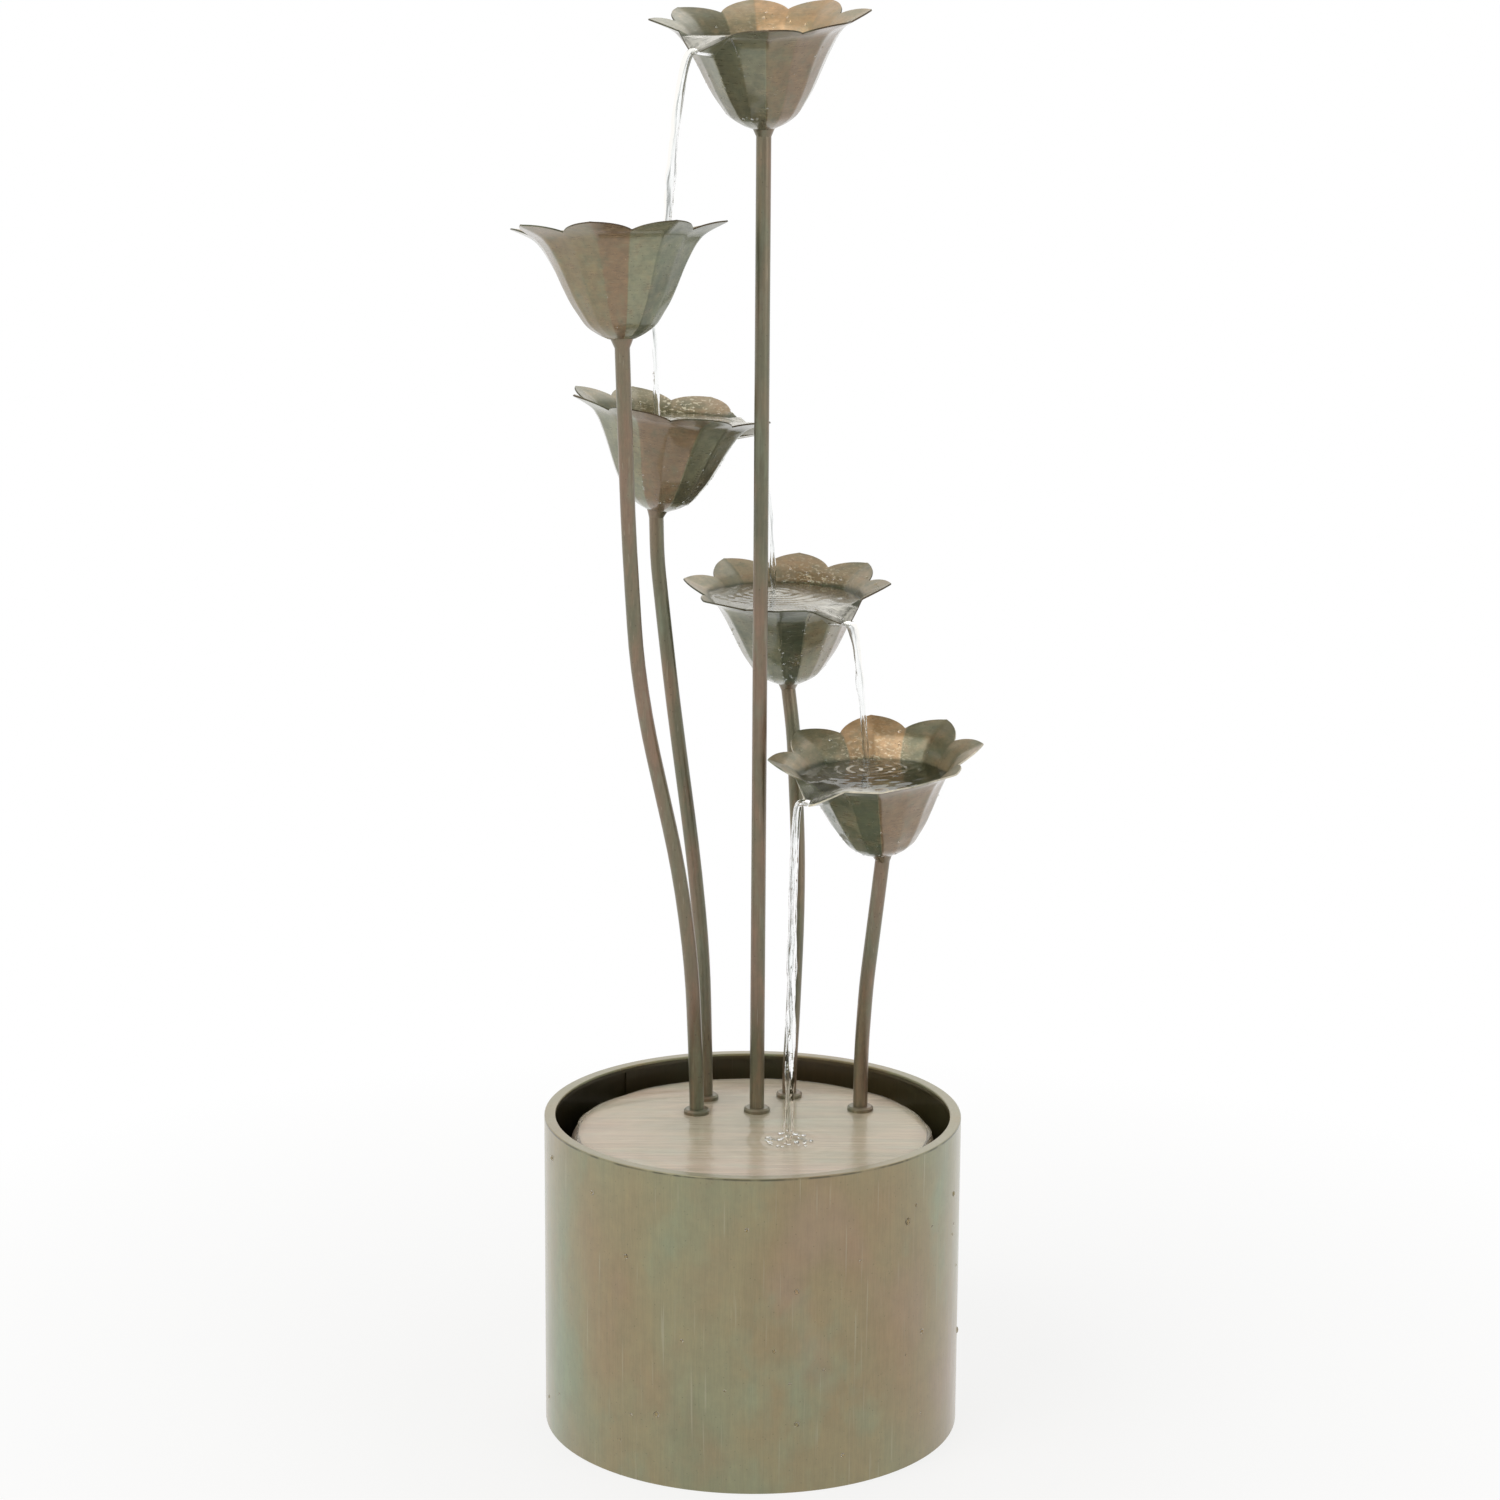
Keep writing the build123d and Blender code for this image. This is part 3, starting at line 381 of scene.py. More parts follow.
def foam(name):
    # Open-cell filter foam: dark pores between pale walls, and silt in clouds
    s = materialShader(name)
    pores = s.cells(s.objectCoords, foamLook["pores"])
    silt = s.noise(s.objectCoords, foamLook["silt"], detail=5.0, roughness=0.7)
    share = s.span(silt, *foamLook["siltSpan"], 0.0, foamLook["siltShare"])
    return s.surface(s.principled(
        Base_Color=s.mix(share, s.ramp(pores, foamLook["poreTones"]), foamLook["siltTone"]),
        Roughness=foamLook["roughness"], Normal=s.bump(pores, foamLook["poreDepth"]),
    ))


def milkyHose(name):
    # Soft clear hose, a little milky, with extrusion lines and lime inside
    s = materialShader(name)
    lines = s.noise(s.objectCoords, hoseLook["lines"], detail=2.0)
    lime = s.noise(s.objectCoords, hoseLook["lime"], detail=4.0, roughness=0.6, shift=3.0)
    return s.surface(s.principled(
        Base_Color=s.ramp(lime, hoseLook["limeTones"]),
        Roughness=s.span(lime, *hoseLook["limeSpan"], *hoseLook["roughness"]),
        Normal=s.bump(lines, hoseLook["lineHeight"], hoseLook["lineStrength"]),
        Transmission_Weight=hoseLook["clearness"], IOR=hoseLook["ior"],
    ))


metals = {
    # slot: name, tone, bright, dull, lines per metre, roughness, metallic
    "bracket_steel": (
        "bracketSteel", (0.42, 0.40, 0.37), (0.55, 0.53, 0.50), (0.24, 0.20, 0.15),
        (60, 60, 1400), (0.35, 0.55), 0.8),
    "zinc_hardware": (
        "zincPlate", (0.55, 0.56, 0.56), (0.70, 0.71, 0.70), (0.36, 0.36, 0.34),
        (300, 300, 1800), (0.25, 0.45), 0.9),
    "brass_nut": (
        "dullBrass", (0.50, 0.37, 0.16), (0.66, 0.50, 0.24), (0.22, 0.19, 0.10),
        (400, 400, 1500), (0.30, 0.50), 0.9),
    "stator_steel": (
        "statorCore", (0.16, 0.15, 0.14), (0.26, 0.25, 0.23), (0.07, 0.06, 0.05),
        (30, 2000, 30), (0.45, 0.65), 0.7),
    "shaft_steel": (
        "groundShaft", (0.66, 0.66, 0.65), (0.80, 0.80, 0.79), (0.45, 0.45, 0.44),
        (600, 4000, 600), (0.12, 0.25), 1.0),
}
plastics = {
    # slot: name, tone, bright, lime bloom, its share, grain's height, roughness
    "pump_plastic": (
        "pumpPlastic", (0.018, 0.018, 0.019), (0.032, 0.032, 0.033), (0.16, 0.15, 0.13),
        0.25, 0.06 * mm, (0.38, 0.58)),
    "impeller_plastic": (
        "impellerPlastic", (0.060, 0.062, 0.068), (0.09, 0.09, 0.10), (0.20, 0.19, 0.17),
        0.2, 0.04 * mm, (0.32, 0.50)),
    "dial_plastic": (
        "dialPlastic", (0.21, 0.21, 0.22), (0.27, 0.27, 0.28), (0.36, 0.35, 0.32),
        0.3, 0.05 * mm, (0.40, 0.60)),
    "black_rubber": (
        "blackRubber", (0.014, 0.014, 0.014), (0.028, 0.027, 0.026), (0.09, 0.085, 0.08),
        0.4, 0.10 * mm, (0.60, 0.85)),
}
slotFinish = {
    "patina_basin": basinPatina, "patina_deck": deckPatina, "patina_stem": stemPatina,
    "sponge": foam("filterFoam"), "clear_hose": milkyHose("milkyHose"),
    **{slot: brushedMetal(*row) for slot, row in metals.items()},
    **{slot: mouldedPlastic(*row) for slot, row in plastics.items()},
}
slotOfNode = {row["node"]: row["material_slot"] for row in frame["record"]["subparts"]}
for name, node in nodes.items():
    if slotOfNode[name] in slotFinish:
        node.data.materials.clear()
        node.data.materials.append(slotFinish[slotOfNode[name]])
print("hardware, rubber and plastic finishes made")

# Water

waterLook = {
    "ior": 1.333, "tint": (0.97, 0.985, 0.975), "poolTint": (0.88, 0.92, 0.84), "dullTint": (0.78, 0.72, 0.60),
    "shadeTint": (0.93, 0.95, 0.94), "streamTint": (0.90, 0.92, 0.91), "streakStops": (0.34, 0.46, 0.62),
    "streakGrain": (5, 2.2, 1), "streakHeight": 0.5 * mm, "streakShade": (0.22, 0.23, 0.22),
    "mirrorTone": (1.0, 0.97, 0.90), "mirrorSpan": (0.5, 0.8), "mirrorShare": 0.24, "patches": 70,
    "foamSpan": (0.30, 0.56), "waveBend": 5.0, "crestSpan": (0.45, 0.75), "brokenSpan": (0.47, 0.52),
    "brimSpan": (0.30, 0.44), "frothAndSheenTone": (0.82, 0.80, 0.73), "frothAndSheenRoughness": 0.15, "frothAndSheenHeight": 0.4 * mm,
}


def water(name, ripple, rippleHeight, tint, streakShift=None, roughness=0.02, standing=False):
    # Clear water that lets the lamps through; a fine bump gives its glints, and streaks of painted shade run along
    # a falling stream. Standing water mirrors a little more at a slant. A pale froth shader whitens it in patches:
    # as foam that is partly painted reflection where its foam attribute is high, as painted glints on broken crests
    # of sine(wave) on the rings beside the stream, and as painted reflection along its brim.
    s = materialShader(name)
    normal = s.bump(s.noise(s.objectCoords, ripple), rippleHeight)
    colour = tint
    if streakShift is not None:
        grain = s.noise(s.uvCoords, waterLook["streakGrain"], 3.0, 0.6, streakShift, distortion=0.4)
        normal = s.bump(grain, waterLook["streakHeight"], 1.0, normal)
        # The streaks' dark tone is painted shade in the clear water
        colour = s.ramp(grain, list(zip(waterLook["streakStops"], (waterLook["streakShade"], tint, 1.0))))
    shader = s.principled(
        Base_Color=colour, Roughness=roughness, IOR=waterLook["ior"], Transmission_Weight=1.0, Normal=normal,
    )
    if standing:
        mirrored = {"Color": waterLook["mirrorTone"], "Roughness": roughness, "Normal": normal}
        slant = s.span(s.node("LayerWeight", {}, "Facing"), *waterLook["mirrorSpan"], 0.0, waterLook["mirrorShare"])
        shader = s.mixShader(
            s.times(s.attribute("mirror"), slant), shader, s.node("BsdfAnisotropic", mirrored, "BSDF"),
        )
        patches = s.noise(s.objectCoords, waterLook["patches"], detail=5.0, roughness=0.6, distortion=1.0)
        bent = s.math("ADD", s.times(s.attribute("wave"), 2 * pi), s.times(patches, waterLook["waveBend"]))
        crest = s.times(
            s.span(s.math("SINE", bent), *waterLook["crestSpan"]), s.span(patches, *waterLook["brokenSpan"]),
            s.attribute("crest"),
        )
        whitened = s.times(s.attribute("foam"), s.span(patches, *waterLook["foamSpan"]))
        brim = s.times(s.attribute("brim"), s.span(patches, *waterLook["brimSpan"]))
        # Pale froth shader: foam, painted glints on crests and painted reflection along the brim
        frothAndSheen = s.principled(
            Base_Color=waterLook["frothAndSheenTone"], Roughness=waterLook["frothAndSheenRoughness"],
            Normal=s.bump(patches, waterLook["frothAndSheenHeight"]),
        )
        shader = s.mixShader(s.math("MAXIMUM", s.math("MAXIMUM", whitened, crest), brim), shader, frothAndSheen)
    clear = s.node("BsdfTransparent", {"Color": waterLook["shadeTint"]}, "BSDF")
    return s.surface(s.mixShader(s.rays("Is Shadow Ray"), shader, clear))


# Name, ripples in a metre and their height, and tint
poolWater = water("poolWater", 100, 0.12 * mm, waterLook["poolTint"], standing=True)
dropWater = water("dropWater", 300, 0.05 * mm, waterLook["tint"])
dullWater = water("dullWater", 300, 0.05 * mm, waterLook["dullTint"], roughness=0.22)
filmWater = water("filmWater", 150, 0.10 * mm, waterLook["tint"], roughness=0.2)
print("water made")

# Mesh helpers


def toPoints(x, y, z):
    # One array of points from arrays or plain numbers
    return np.stack(np.broadcast_arrays(x, y, z), -1)


def fullTurn(count):
    # Angles of a full turn in even steps
    return np.linspace(0, 2 * pi, count, endpoint=False)


def gridQuads(rowCount, columnCount):
    # Point numbers of a grid, those of the next column round, and the quads between its rows
    index = np.arange(rowCount * columnCount).reshape(rowCount, columnCount)
    right = np.roll(index, -1, axis=1)
    return index, right, np.stack([index[:-1], right[:-1], right[1:], index[1:]], -1).reshape(-1, 4)


def meshFromRings(name, rings, startPole=None, endPole=None, along=None):
    # Quads through rings[row, column, xyz], closed round the columns. Rows that climb with columns running
    # anticlockwise from above face outwards. A pole point closes an end with a fan. U runs once round the columns,
    # and V is along[row, column], or the row's share.
    rowCount, columnCount = rings.shape[:2]
    index, right, quads = gridQuads(rowCount, columnCount)
    if along is None:
        along = np.broadcast_to(np.linspace(0, 1, rowCount)[:, None], (rowCount, columnCount))
    nextAlong = np.roll(along, -1, axis=1)
    step = 1 / columnCount
    place = np.arange(columnCount) / columnCount
    column = np.broadcast_to(place, (rowCount - 1, columnCount))
    u = np.stack([column, column + step, column + step, column], -1)
    v = np.stack([along[:-1], nextAlong[:-1], nextAlong[1:], along[1:]], -1)
    corners = [np.stack([u, v], -1).reshape(-1, 2)]
    faces, points = quads.tolist(), [rings.reshape(-1, 3)]
    for pole, ring, side, share in ((startPole, 0, 1, 0.0), (endPole, -1, 0, 1.0)):
        if pole is None:
            continue
        tip = np.full(columnCount, sum(len(part) for part in points))
        points.append(np.asarray(pole, float).reshape(1, 3))
        pair = [right[ring], index[ring]] if side else [index[ring], right[ring]]
        faces += np.stack([*pair, tip], -1).tolist()
        us = np.stack([place + side * step, place + (1 - side) * step, place + step / 2], -1)
        corners.append(np.stack([us, np.full_like(us, share)], -1).reshape(-1, 2))
    mesh = bpy.data.meshes.new(name)
    mesh.from_pydata(np.concatenate(points).tolist(), [], faces)
    layer = mesh.uv_layers.new(name="UVMap")
    layer.data.foreach_set("uv", np.concatenate(corners).astype(np.float32).ravel())
    mesh.shade_smooth()
    return mesh


def addAttributes(mesh, values):
    # One number a point under each name, for the materials to read
    for name, numbers in values.items():
        mesh.attributes.new(name, "FLOAT", "POINT").data.foreach_set("value", numbers.astype(np.float32))


def putPiece(name, mesh, body, materials, stands=()):
    # Links a finished mesh at the origin, riding on its body
    obj = addObject(name, mesh)
    for material in materials:
        mesh.materials.append(material)
    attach(obj, body)
    if stands:
        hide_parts(*stands)
    return obj


def applyModifiers(obj, sharpAngle):
    # Bakes the modifiers into the mesh and keeps edges sharp past an angle
    depsgraph = bpy.context.evaluated_depsgraph_get()
    depsgraph.update()
    made = bpy.data.meshes.new_from_object(obj.evaluated_get(depsgraph), depsgraph=depsgraph)
    old = obj.data
    obj.modifiers.clear()
    obj.data = made
    made.name = old.name
    bpy.data.meshes.remove(old)
    made.shade_smooth()
    made.set_sharp_from_angle(angle=sharpAngle)


def smoothCurve(points, count):
    # Catmull-Rom curve through the points, at evenly spaced shares of its length
    points = np.asarray(points, float)
    padded = np.vstack([2 * points[0] - points[1], points, 2 * points[-1] - points[-2]])
    place = np.linspace(0, len(points) - 1, 40 * len(points))  # about 40 steps from point to point
    piece = np.minimum(place.astype(int), len(points) - 2)
    t = (place - piece)[:, None]
    a, b, c, d = (padded[piece + k] for k in range(4))
    curve = 0.5 * (2 * b + (c - a) * t + (2 * a - 5 * b + 4 * c - d) * t**2 + (3 * b - a - 3 * c + d) * t**3)
    length = np.concatenate([[0], np.cumsum(np.linalg.norm(np.diff(curve, axis=0), axis=1))])
    even = np.linspace(0, length[-1], count)
    return np.stack([np.interp(even, length, curve[:, k]) for k in range(points.shape[1])], -1)


def smoothStep(value):
    # 0 up to 0, 1 from 1 on, and 3 v^2 - 2 v^3 between
    value = np.clip(value, 0, 1)
    return value * value * (3 - 2 * value)


def normalsOf(rings):
    # Unit normals of a ring grid, outwards where its faces are
    across = np.roll(rings, -1, axis=1) - np.roll(rings, 1, axis=1)
    normal = np.cross(across, np.gradient(rings, axis=0))
    return normal / np.maximum(np.linalg.norm(normal, axis=-1, keepdims=True), 1e-12)


def fromFront(angle):
    # Level direction at an angle from the front, -Y, positive towards +X
    return np.array([np.sin(radians(angle)), -np.cos(radians(angle)), 0.0])


# Petal cups

cup = {
    "tipRadius": 77.0 * mm, "tipHeight": 76.8 * mm, "notchRadius": 62.5 * mm, "sheet": 1.1 * mm,
    "holeRadius": 3.2 * mm, "petals": 8, "valleyShare": 0.045,
    "radiusShares": [0.117, 0.212, 0.317, 0.394, 0.460, 0.520, 0.592, 0.660, 0.726, 0.815, 1.030],
    "heightShares": [0.000, 0.045, 0.120, 0.227, 0.333, 0.454, 0.607, 0.734, 0.835, 0.915, 1.014],
    "foldHeightShare": 0.71, "lipTipShares": (0.93, 0.775), "tipRound": 0.10, "lipCurve": 1.15,
    "pointedShare": 0.45, "facetColumns": 14, "floorRows": 3, "bodyRows": 44, "lipRows": 14,
    "creaseHalfWidth": 1.5, "creaseAngle": 42, "dent": 0.22 * mm, "dentWaves": [(3, 9, 1.0), (7, -6, 2.3)],
    "rimWave": 0.5 * mm, "phaseStep": 1.9, "ownTone": 0.07, "ownStep": 2.4, "edgeShare": 0.4,
    "wetShadeSoft": 2.5 * mm, "splashWidth": 27, "splashHeight": 11 * mm, "splashFull": 50, "mergeWithin": 0.002 * mm,
    "cloudStep": 4.3,
    "dryCoat": (0.7, 0.12), "wetCoat": (0.3, -0.06),  # coat's weight and roughness, and what wetness adds to them
}
# underside and lands are in mm; lip, leanTowards, wetSide and a brim's direction are in degrees from the front.
# Tones are steps of (direction where a tone begins, tone), from 0 for pink copper to 1 for dark green. They are
# partly the patina's own colours and partly painted light and shade, set for how light falls on each facet.
plainFlower = {
    "darkTone": (0.078, 0.095, 0.056), "light": 1.0, "innerLight": 1.0, "edgeHighlight": None,
    "thrown": 1.0, "streamWidth": 1.2, "narrowing": 40 * mm, "slope": 0.0, "proud": 1.6 * mm,
    "foam": 0.9, "mirror": 1.0, "rings": 0.9, "crests": 0.3, "brim": (0, 20, 0.0),
    "splashTurn": 0, "wetShadeBand": 1 * mm,
}
flowers = {
    "1": dict(
        plainFlower, underside=(3.0, 45.0, 926.0), lip=-41.0, lean=7.9, leanTowards=-16.0, lands=(-63.0, -25.0),
        outerTones=[(-180, 0.55), (-64, 0.80), (-19, 0.90), (4, 0.38), (27, 0.22), (72, 0.40)],
        innerTones=[
            (-180, 0.10), (-176, 0.44), (-154, 0.98), (-109, 0.90), (0, 0.50), (116, 0.26), (161, 0.10)],
        darkTone=(0.122, 0.112, 0.072), innerLight=1.25, wetSide=-34, wet=0.35, thrown=0.9, streamWidth=1.9,
        narrowing=90 * mm, ropes=0.16, foam=0.8, splashes=14, crests=0.0,
    ),
    "2": dict(
        plainFlower, underside=(-93.5, -4.0, 784.0), lip=168.0, lean=6.1, leanTowards=-161.0, lands=(-71.0, 75.0),
        outerTones=[(-180, 0.45), (-57, 0.42), (-12, 0.30), (10, 0.66), (33, 0.94)], innerTones=[(-180, 0.45)],
        light=1.1, wetSide=52, wet=0.15, streamWidth=1.25, ropes=0.11, foam=0.3, splashes=10,
    ),
    "3": dict(
        plainFlower, underside=(-72.0, 102.0, 651.0), lip=114.0, lean=7.6, leanTowards=90.0, lands=(13.5, 137.0),
        outerTones=[(-180, 0.50), (-66, 0.72), (-21, 0.15), (1, 0.22), (24, 0.90), (69, 0.70)],
        innerTones=[(-180, 0.64), (-156, 0.80), (-133, 0.86), (-90, 0.66), (136, 0.44), (159, 0.56)],
        darkTone=(0.098, 0.086, 0.044), light=1.05, wetSide=55, wet=0.7, ropes=0.125, slope=0.055, splashes=55,
        proud=3.2 * mm, splashTurn=-4, wetShadeBand=1.5 * mm, brim=(66, 34, 0.9),
    ),
    "4": dict(
        plainFlower, underside=(24.2, 136.0, 518.0), lip=38.0, lean=7.1, leanTowards=-9.0, lands=(80.0, 58.0),
        # The step at 38 degrees is darkened as painted shadow of the lip
        outerTones=[(-180, 0.55), (-52, 0.86), (-7, 1.0), (15, 0.70), (38, 0.48), (60, 0.22)],
        innerTones=[
            (-180, 0.42), (-164, 0.60), (-142, 0.78), (-119, 0.66), (105, 0.52), (150, 0.36), (173, 0.26)],
        wetSide=-10, wet=0.7, thrown=0.8, narrowing=30 * mm, ropes=0.175, slope=0.028, mirror=0.8, splashes=75,
        rings=0.8, splashTurn=-22, wetShadeBand=4 * mm, crests=0.8, brim=(-15, 40, 0.5),
    ),
    "5": dict(
        plainFlower, underside=(91.5, 30.0, 414.0), lip=-45.0, lean=10.2, leanTowards=-27.0, lands=(26.0, -24.0),
        outerTones=[(-180, 0.50), (-68, 0.95), (0, 0.12), (22, 0.16), (68, 0.45)],
        innerTones=[(-180, 0.14), (-157, 0.72), (-112, 0.68), (0, 0.60), (112, 0.80), (157, 0.04)],
        darkTone=(0.080, 0.112, 0.068), light=1.05, edgeHighlight=(0.62, 0.58, 0.48), wetSide=-42, wet=0.5, thrown=0.2,
        streamWidth=2.1, narrowing=200 * mm, ropes=0.21, foam=0.15, slope=0.022, mirror=0.1, splashes=65,
        rings=0.7, splashTurn=3, wetShadeBand=3 * mm, crests=1.2, brim=(-14, 22, 1.0),
    ),
}


def cupFrame(flower):
    # Origin on the cup's underside and the three axes: Z leans, and the pouring lip points along -Y
    lean = radians(flower["lean"])
    axis = np.sin(lean) * fromFront(flower["leanTowards"]) + np.array([0, 0, np.cos(lean)])
    level = np.array([np.cos(radians(flower["lip"])), np.sin(radians(flower["lip"])), 0])
    xAxis = level - axis * (level @ axis)
    xAxis /= np.linalg.norm(xAxis)
    return np.array(flower["underside"]) * mm, np.stack([xAxis, np.cross(axis, xAxis), axis], 1)


ridgeCurve = smoothCurve(
    [(cup["tipRadius"] * r, cup["tipHeight"] * h) for r, h in zip(cup["radiusShares"], cup["heightShares"])], 500
)
ridgeShare = np.linspace(0, 1, len(ridgeCurve))
halfPetal = pi / cup["petals"]


def fromRidge(angle):
    # Angle away from the middle of the nearest petal
    return np.abs((angle + halfPetal) % (2 * halfPetal) - halfPetal)


def facetRadius(angle, share):
    # Radius of the cup's wall: straight chords between a ridge in the middle of each petal and a valley a little
    # further in between petals, averaged over a few degrees so that the creases are slightly rounded
    ridge = np.interp(share, ridgeShare, ridgeCurve[:, 0])
    height = np.interp(share, ridgeShare, ridgeCurve[:, 1])
    valley = ridge * (1 - cup["valleyShare"] * height / cup["tipHeight"])
    total = 0
    offsets = radians(cup["creaseHalfWidth"]) * np.linspace(-1, 1, 5)
    for offset in offsets:
        away = fromRidge(angle + offset)
        chord = valley * np.sin(halfPetal - away) + ridge * np.sin(away)
        total = total + ridge * valley * np.sin(halfPetal) / chord
    return total / len(offsets), height


def rimShare(angle):
    # Where each column meets the petal's edge: in plan a share of the way from an arc through notch, tip and notch
    # to the straight lines between them, so that the tip is slightly pointed
    tip, notch = cup["tipRadius"], cup["notchRadius"]
    centre = (tip**2 - notch**2) / (2 * (tip - notch * np.cos(halfPetal)))
    away = fromRidge(angle)
    arc = centre * np.cos(away) + np.sqrt((tip - centre) ** 2 - (centre * np.sin(away)) ** 2)
    straight = tip * notch * np.sin(halfPetal) / (notch * np.sin(halfPetal - away) + tip * np.sin(away))
    reach = arc + cup["pointedShare"] * (straight - arc)
    share = np.ones_like(angle)
    for _ in range(12):  # rounds that it takes to settle
        ridge = np.interp(share, ridgeShare, ridgeCurve[:, 0])
        share = np.interp(ridge * reach / facetRadius(angle, share)[0], ridgeCurve[:, 0], ridgeShare)
    return share


def cupRings(phase):
    # Rows climb the outside from the hole in the floor to the petals' edge. In the pouring petal they stop at a
    # V-shaped fold and go on along the lip, which runs out from the fold to an edge from notch to tip to notch.
    columnCount = 2 * cup["petals"] * cup["facetColumns"]
    bodyRows, lipRows = cup["bodyRows"], cup["lipRows"]
    angle = np.arange(columnCount) * 2 * pi / columnCount
    turned = (angle + pi) % (2 * pi) - pi
    away = np.abs(turned)
    inLip = away <= halfPetal + 1e-9
    across = np.clip(away / halfPetal, 0, 1)
    full = rimShare(angle)
    foldHeight = cup["foldHeightShare"] * cup["tipHeight"]
    notchHeight = np.interp(full[cup["facetColumns"]], ridgeShare, ridgeCurve[:, 1])
    foldShare = np.interp(foldHeight + (notchHeight - foldHeight) * across, ridgeCurve[:, 1], ridgeShare)
    easing = smoothStep((away - halfPetal) / halfPetal)
    stop = np.where(inLip, foldShare, full * (1 - (1 - bodyRows / (bodyRows + lipRows)) * easing))
    body = np.linspace(0, 1, bodyRows + 1)[:, None] * stop
    on = np.linspace(0, 1, lipRows + 1)[1:, None]
    share = np.concatenate([body, stop + (full - stop) * on])
    radius, height = facetRadius(angle[None, :] + 0 * share, share)
    dent = sum(np.sin(turns * angle + climb * share + start * phase) for turns, climb, start in cup["dentWaves"])
    radius = radius + cup["dent"] * dent * smoothStep(share * 2)
    height = height + cup["rimWave"] * np.sin(2 * angle + phase) * share**4
    points = toPoints(radius * np.sin(angle), -radius * np.cos(angle), height)
    tipR, tipH = cup["lipTipShares"][0] * cup["tipRadius"], cup["lipTipShares"][1] * cup["tipHeight"]
    notch = points[bodyRows, cup["facetColumns"]]
    rounded = np.sqrt(across**2 + cup["tipRound"] ** 2) / np.sqrt(1 + cup["tipRound"] ** 2)
    edge = toPoints(
        np.sign(turned) * abs(notch[0]) * across, -(tipR + (abs(notch[1]) - tipR) * rounded),
        tipH + (notch[2] - tipH) * across ** cup["lipCurve"],
    )
    fold = points[bodyRows]
    points[bodyRows + 1:, inLip] = (fold + (edge - fold) * on[..., None])[:, inLip]
    floorOn = np.linspace(0, 1, cup["floorRows"] + 1)[:-1, None, None]
    hole = cup["holeRadius"] * toPoints(np.sin(angle), -np.cos(angle), 0)
    floor = hole + (points[0] - hole) * floorOn
    along = np.concatenate([np.zeros((cup["floorRows"], columnCount)), share])
    return np.concatenate([floor, points]), along, angle


def facetTones(flower, steps, angle, rowCount):
    # One tone a facet, taken at its middle from steps of (angle from the front where a tone begins, tone), with a
    # little of its own, carried up each column
    facet = np.floor(angle / halfPetal + 1e-6)
    middle = (np.degrees((facet + 0.5) * halfPetal) + flower["lip"] + 180) % 360 - 180
    starts, tones = np.array(steps).T
    own = cup["ownTone"] * np.sin(facet * cup["ownStep"] + flower["lip"])
    return np.tile(np.clip(tones[np.searchsorted(starts, middle) - 1] + own, 0, 1), rowCount)


cupLook = dict(
    plainPatina, onUv=True, cloud=(9, 2.2, 1), blotch=(24, 9, 1), streak=(34, 80, 1), hair=(70, 260, 1),
    scratches=(40, 150, 1), facets=0.9, facetStops=(0.0, 0.25, 0.5, 0.75, 1.0), facetTones="outerTone",
    drift=(0.45, 0.30), verdigrisShare=0.30, copperShare=0.22, dents=60, dentHeight=1.0 * mm, metallic=0.5,
    roughness=(0.24, 0.40), pitDepth=0.5, streakDepth=0.45, mottle=170, mottleDepth=0.8,
)
cupTones = {
    "green": (0.245, 0.250, 0.160), "khaki": (0.215, 0.180, 0.098), "brown": (0.225, 0.150, 0.084),
    "pink": (0.250, 0.170, 0.102), "verdigris": (0.140, 0.190, 0.125), "copper": (0.250, 0.150, 0.082),
    "scratchTone": (0.30, 0.27, 0.19),
}
# Inside a cup: painted shade under the water (shadeTone) and painted glints where water splashes
insideLook = {
    "facetTones": "innerTone", "drift": (0.7, 0.6), "copperShare": 0.30, "roughness": (0.30, 0.46),
    "metallic": 0.45, "coat": 0.4, "coatRoughness": 0.10, "mottleDepth": 0.6, "shadeTone": (0.22, 0.28, 0.20),
    "paintedGlints": 0.9, "glintGrain": (330, 330, 760), "glintSpan": (0.565, 0.61), "glintTone": (1.0, 0.92, 0.70),
}
insideTones = {
    "dark": (0.095, 0.096, 0.052), "green": (0.180, 0.168, 0.095), "khaki": (0.330, 0.262, 0.160),
    "brown": (0.370, 0.250, 0.132), "pink": (0.510, 0.325, 0.170), "copper": (0.320, 0.190, 0.095),
}
edgeLook = {"facets": 0.0, "copperShare": 0.0, "verdigrisShare": 0.0, "coat": 0.1, "roughness": (0.45, 0.65)}


def cupPatina(number, flower, side):
    # Finish of one side of a cup, or of the sheet's edge, which is darker and dull, or painted pale along it as a
    # highlight
    light, wet = flower["light"], flower["wet"]
    coat, coatRoughness = (dry + more * wet for dry, more in zip(cup["dryCoat"], cup["wetCoat"]))
    look = dict(cupLook, shift=float(number) * cup["cloudStep"], coat=coat, coatRoughness=coatRoughness)
    for name, tone in dict(cupTones, dark=flower["darkTone"]).items():
        look[name] = scaled(tone, light)
    if side == "inside":
        look.update(insideLook)
        for name, tone in insideTones.items():
            look[name] = scaled(tone, light * flower["innerLight"])
    if side == "edge":
        look.update(edgeLook)
        for name in ("green", "khaki", "brown", "pink"):
            dull = scaled(look[name], cup["edgeShare"])
            # A pale edge tone is a painted highlight along the sheet's edge
            look[name] = scaled(flower["edgeHighlight"], light) if flower["edgeHighlight"] else dull
    return patina("cup" + side.capitalize() + number, look)


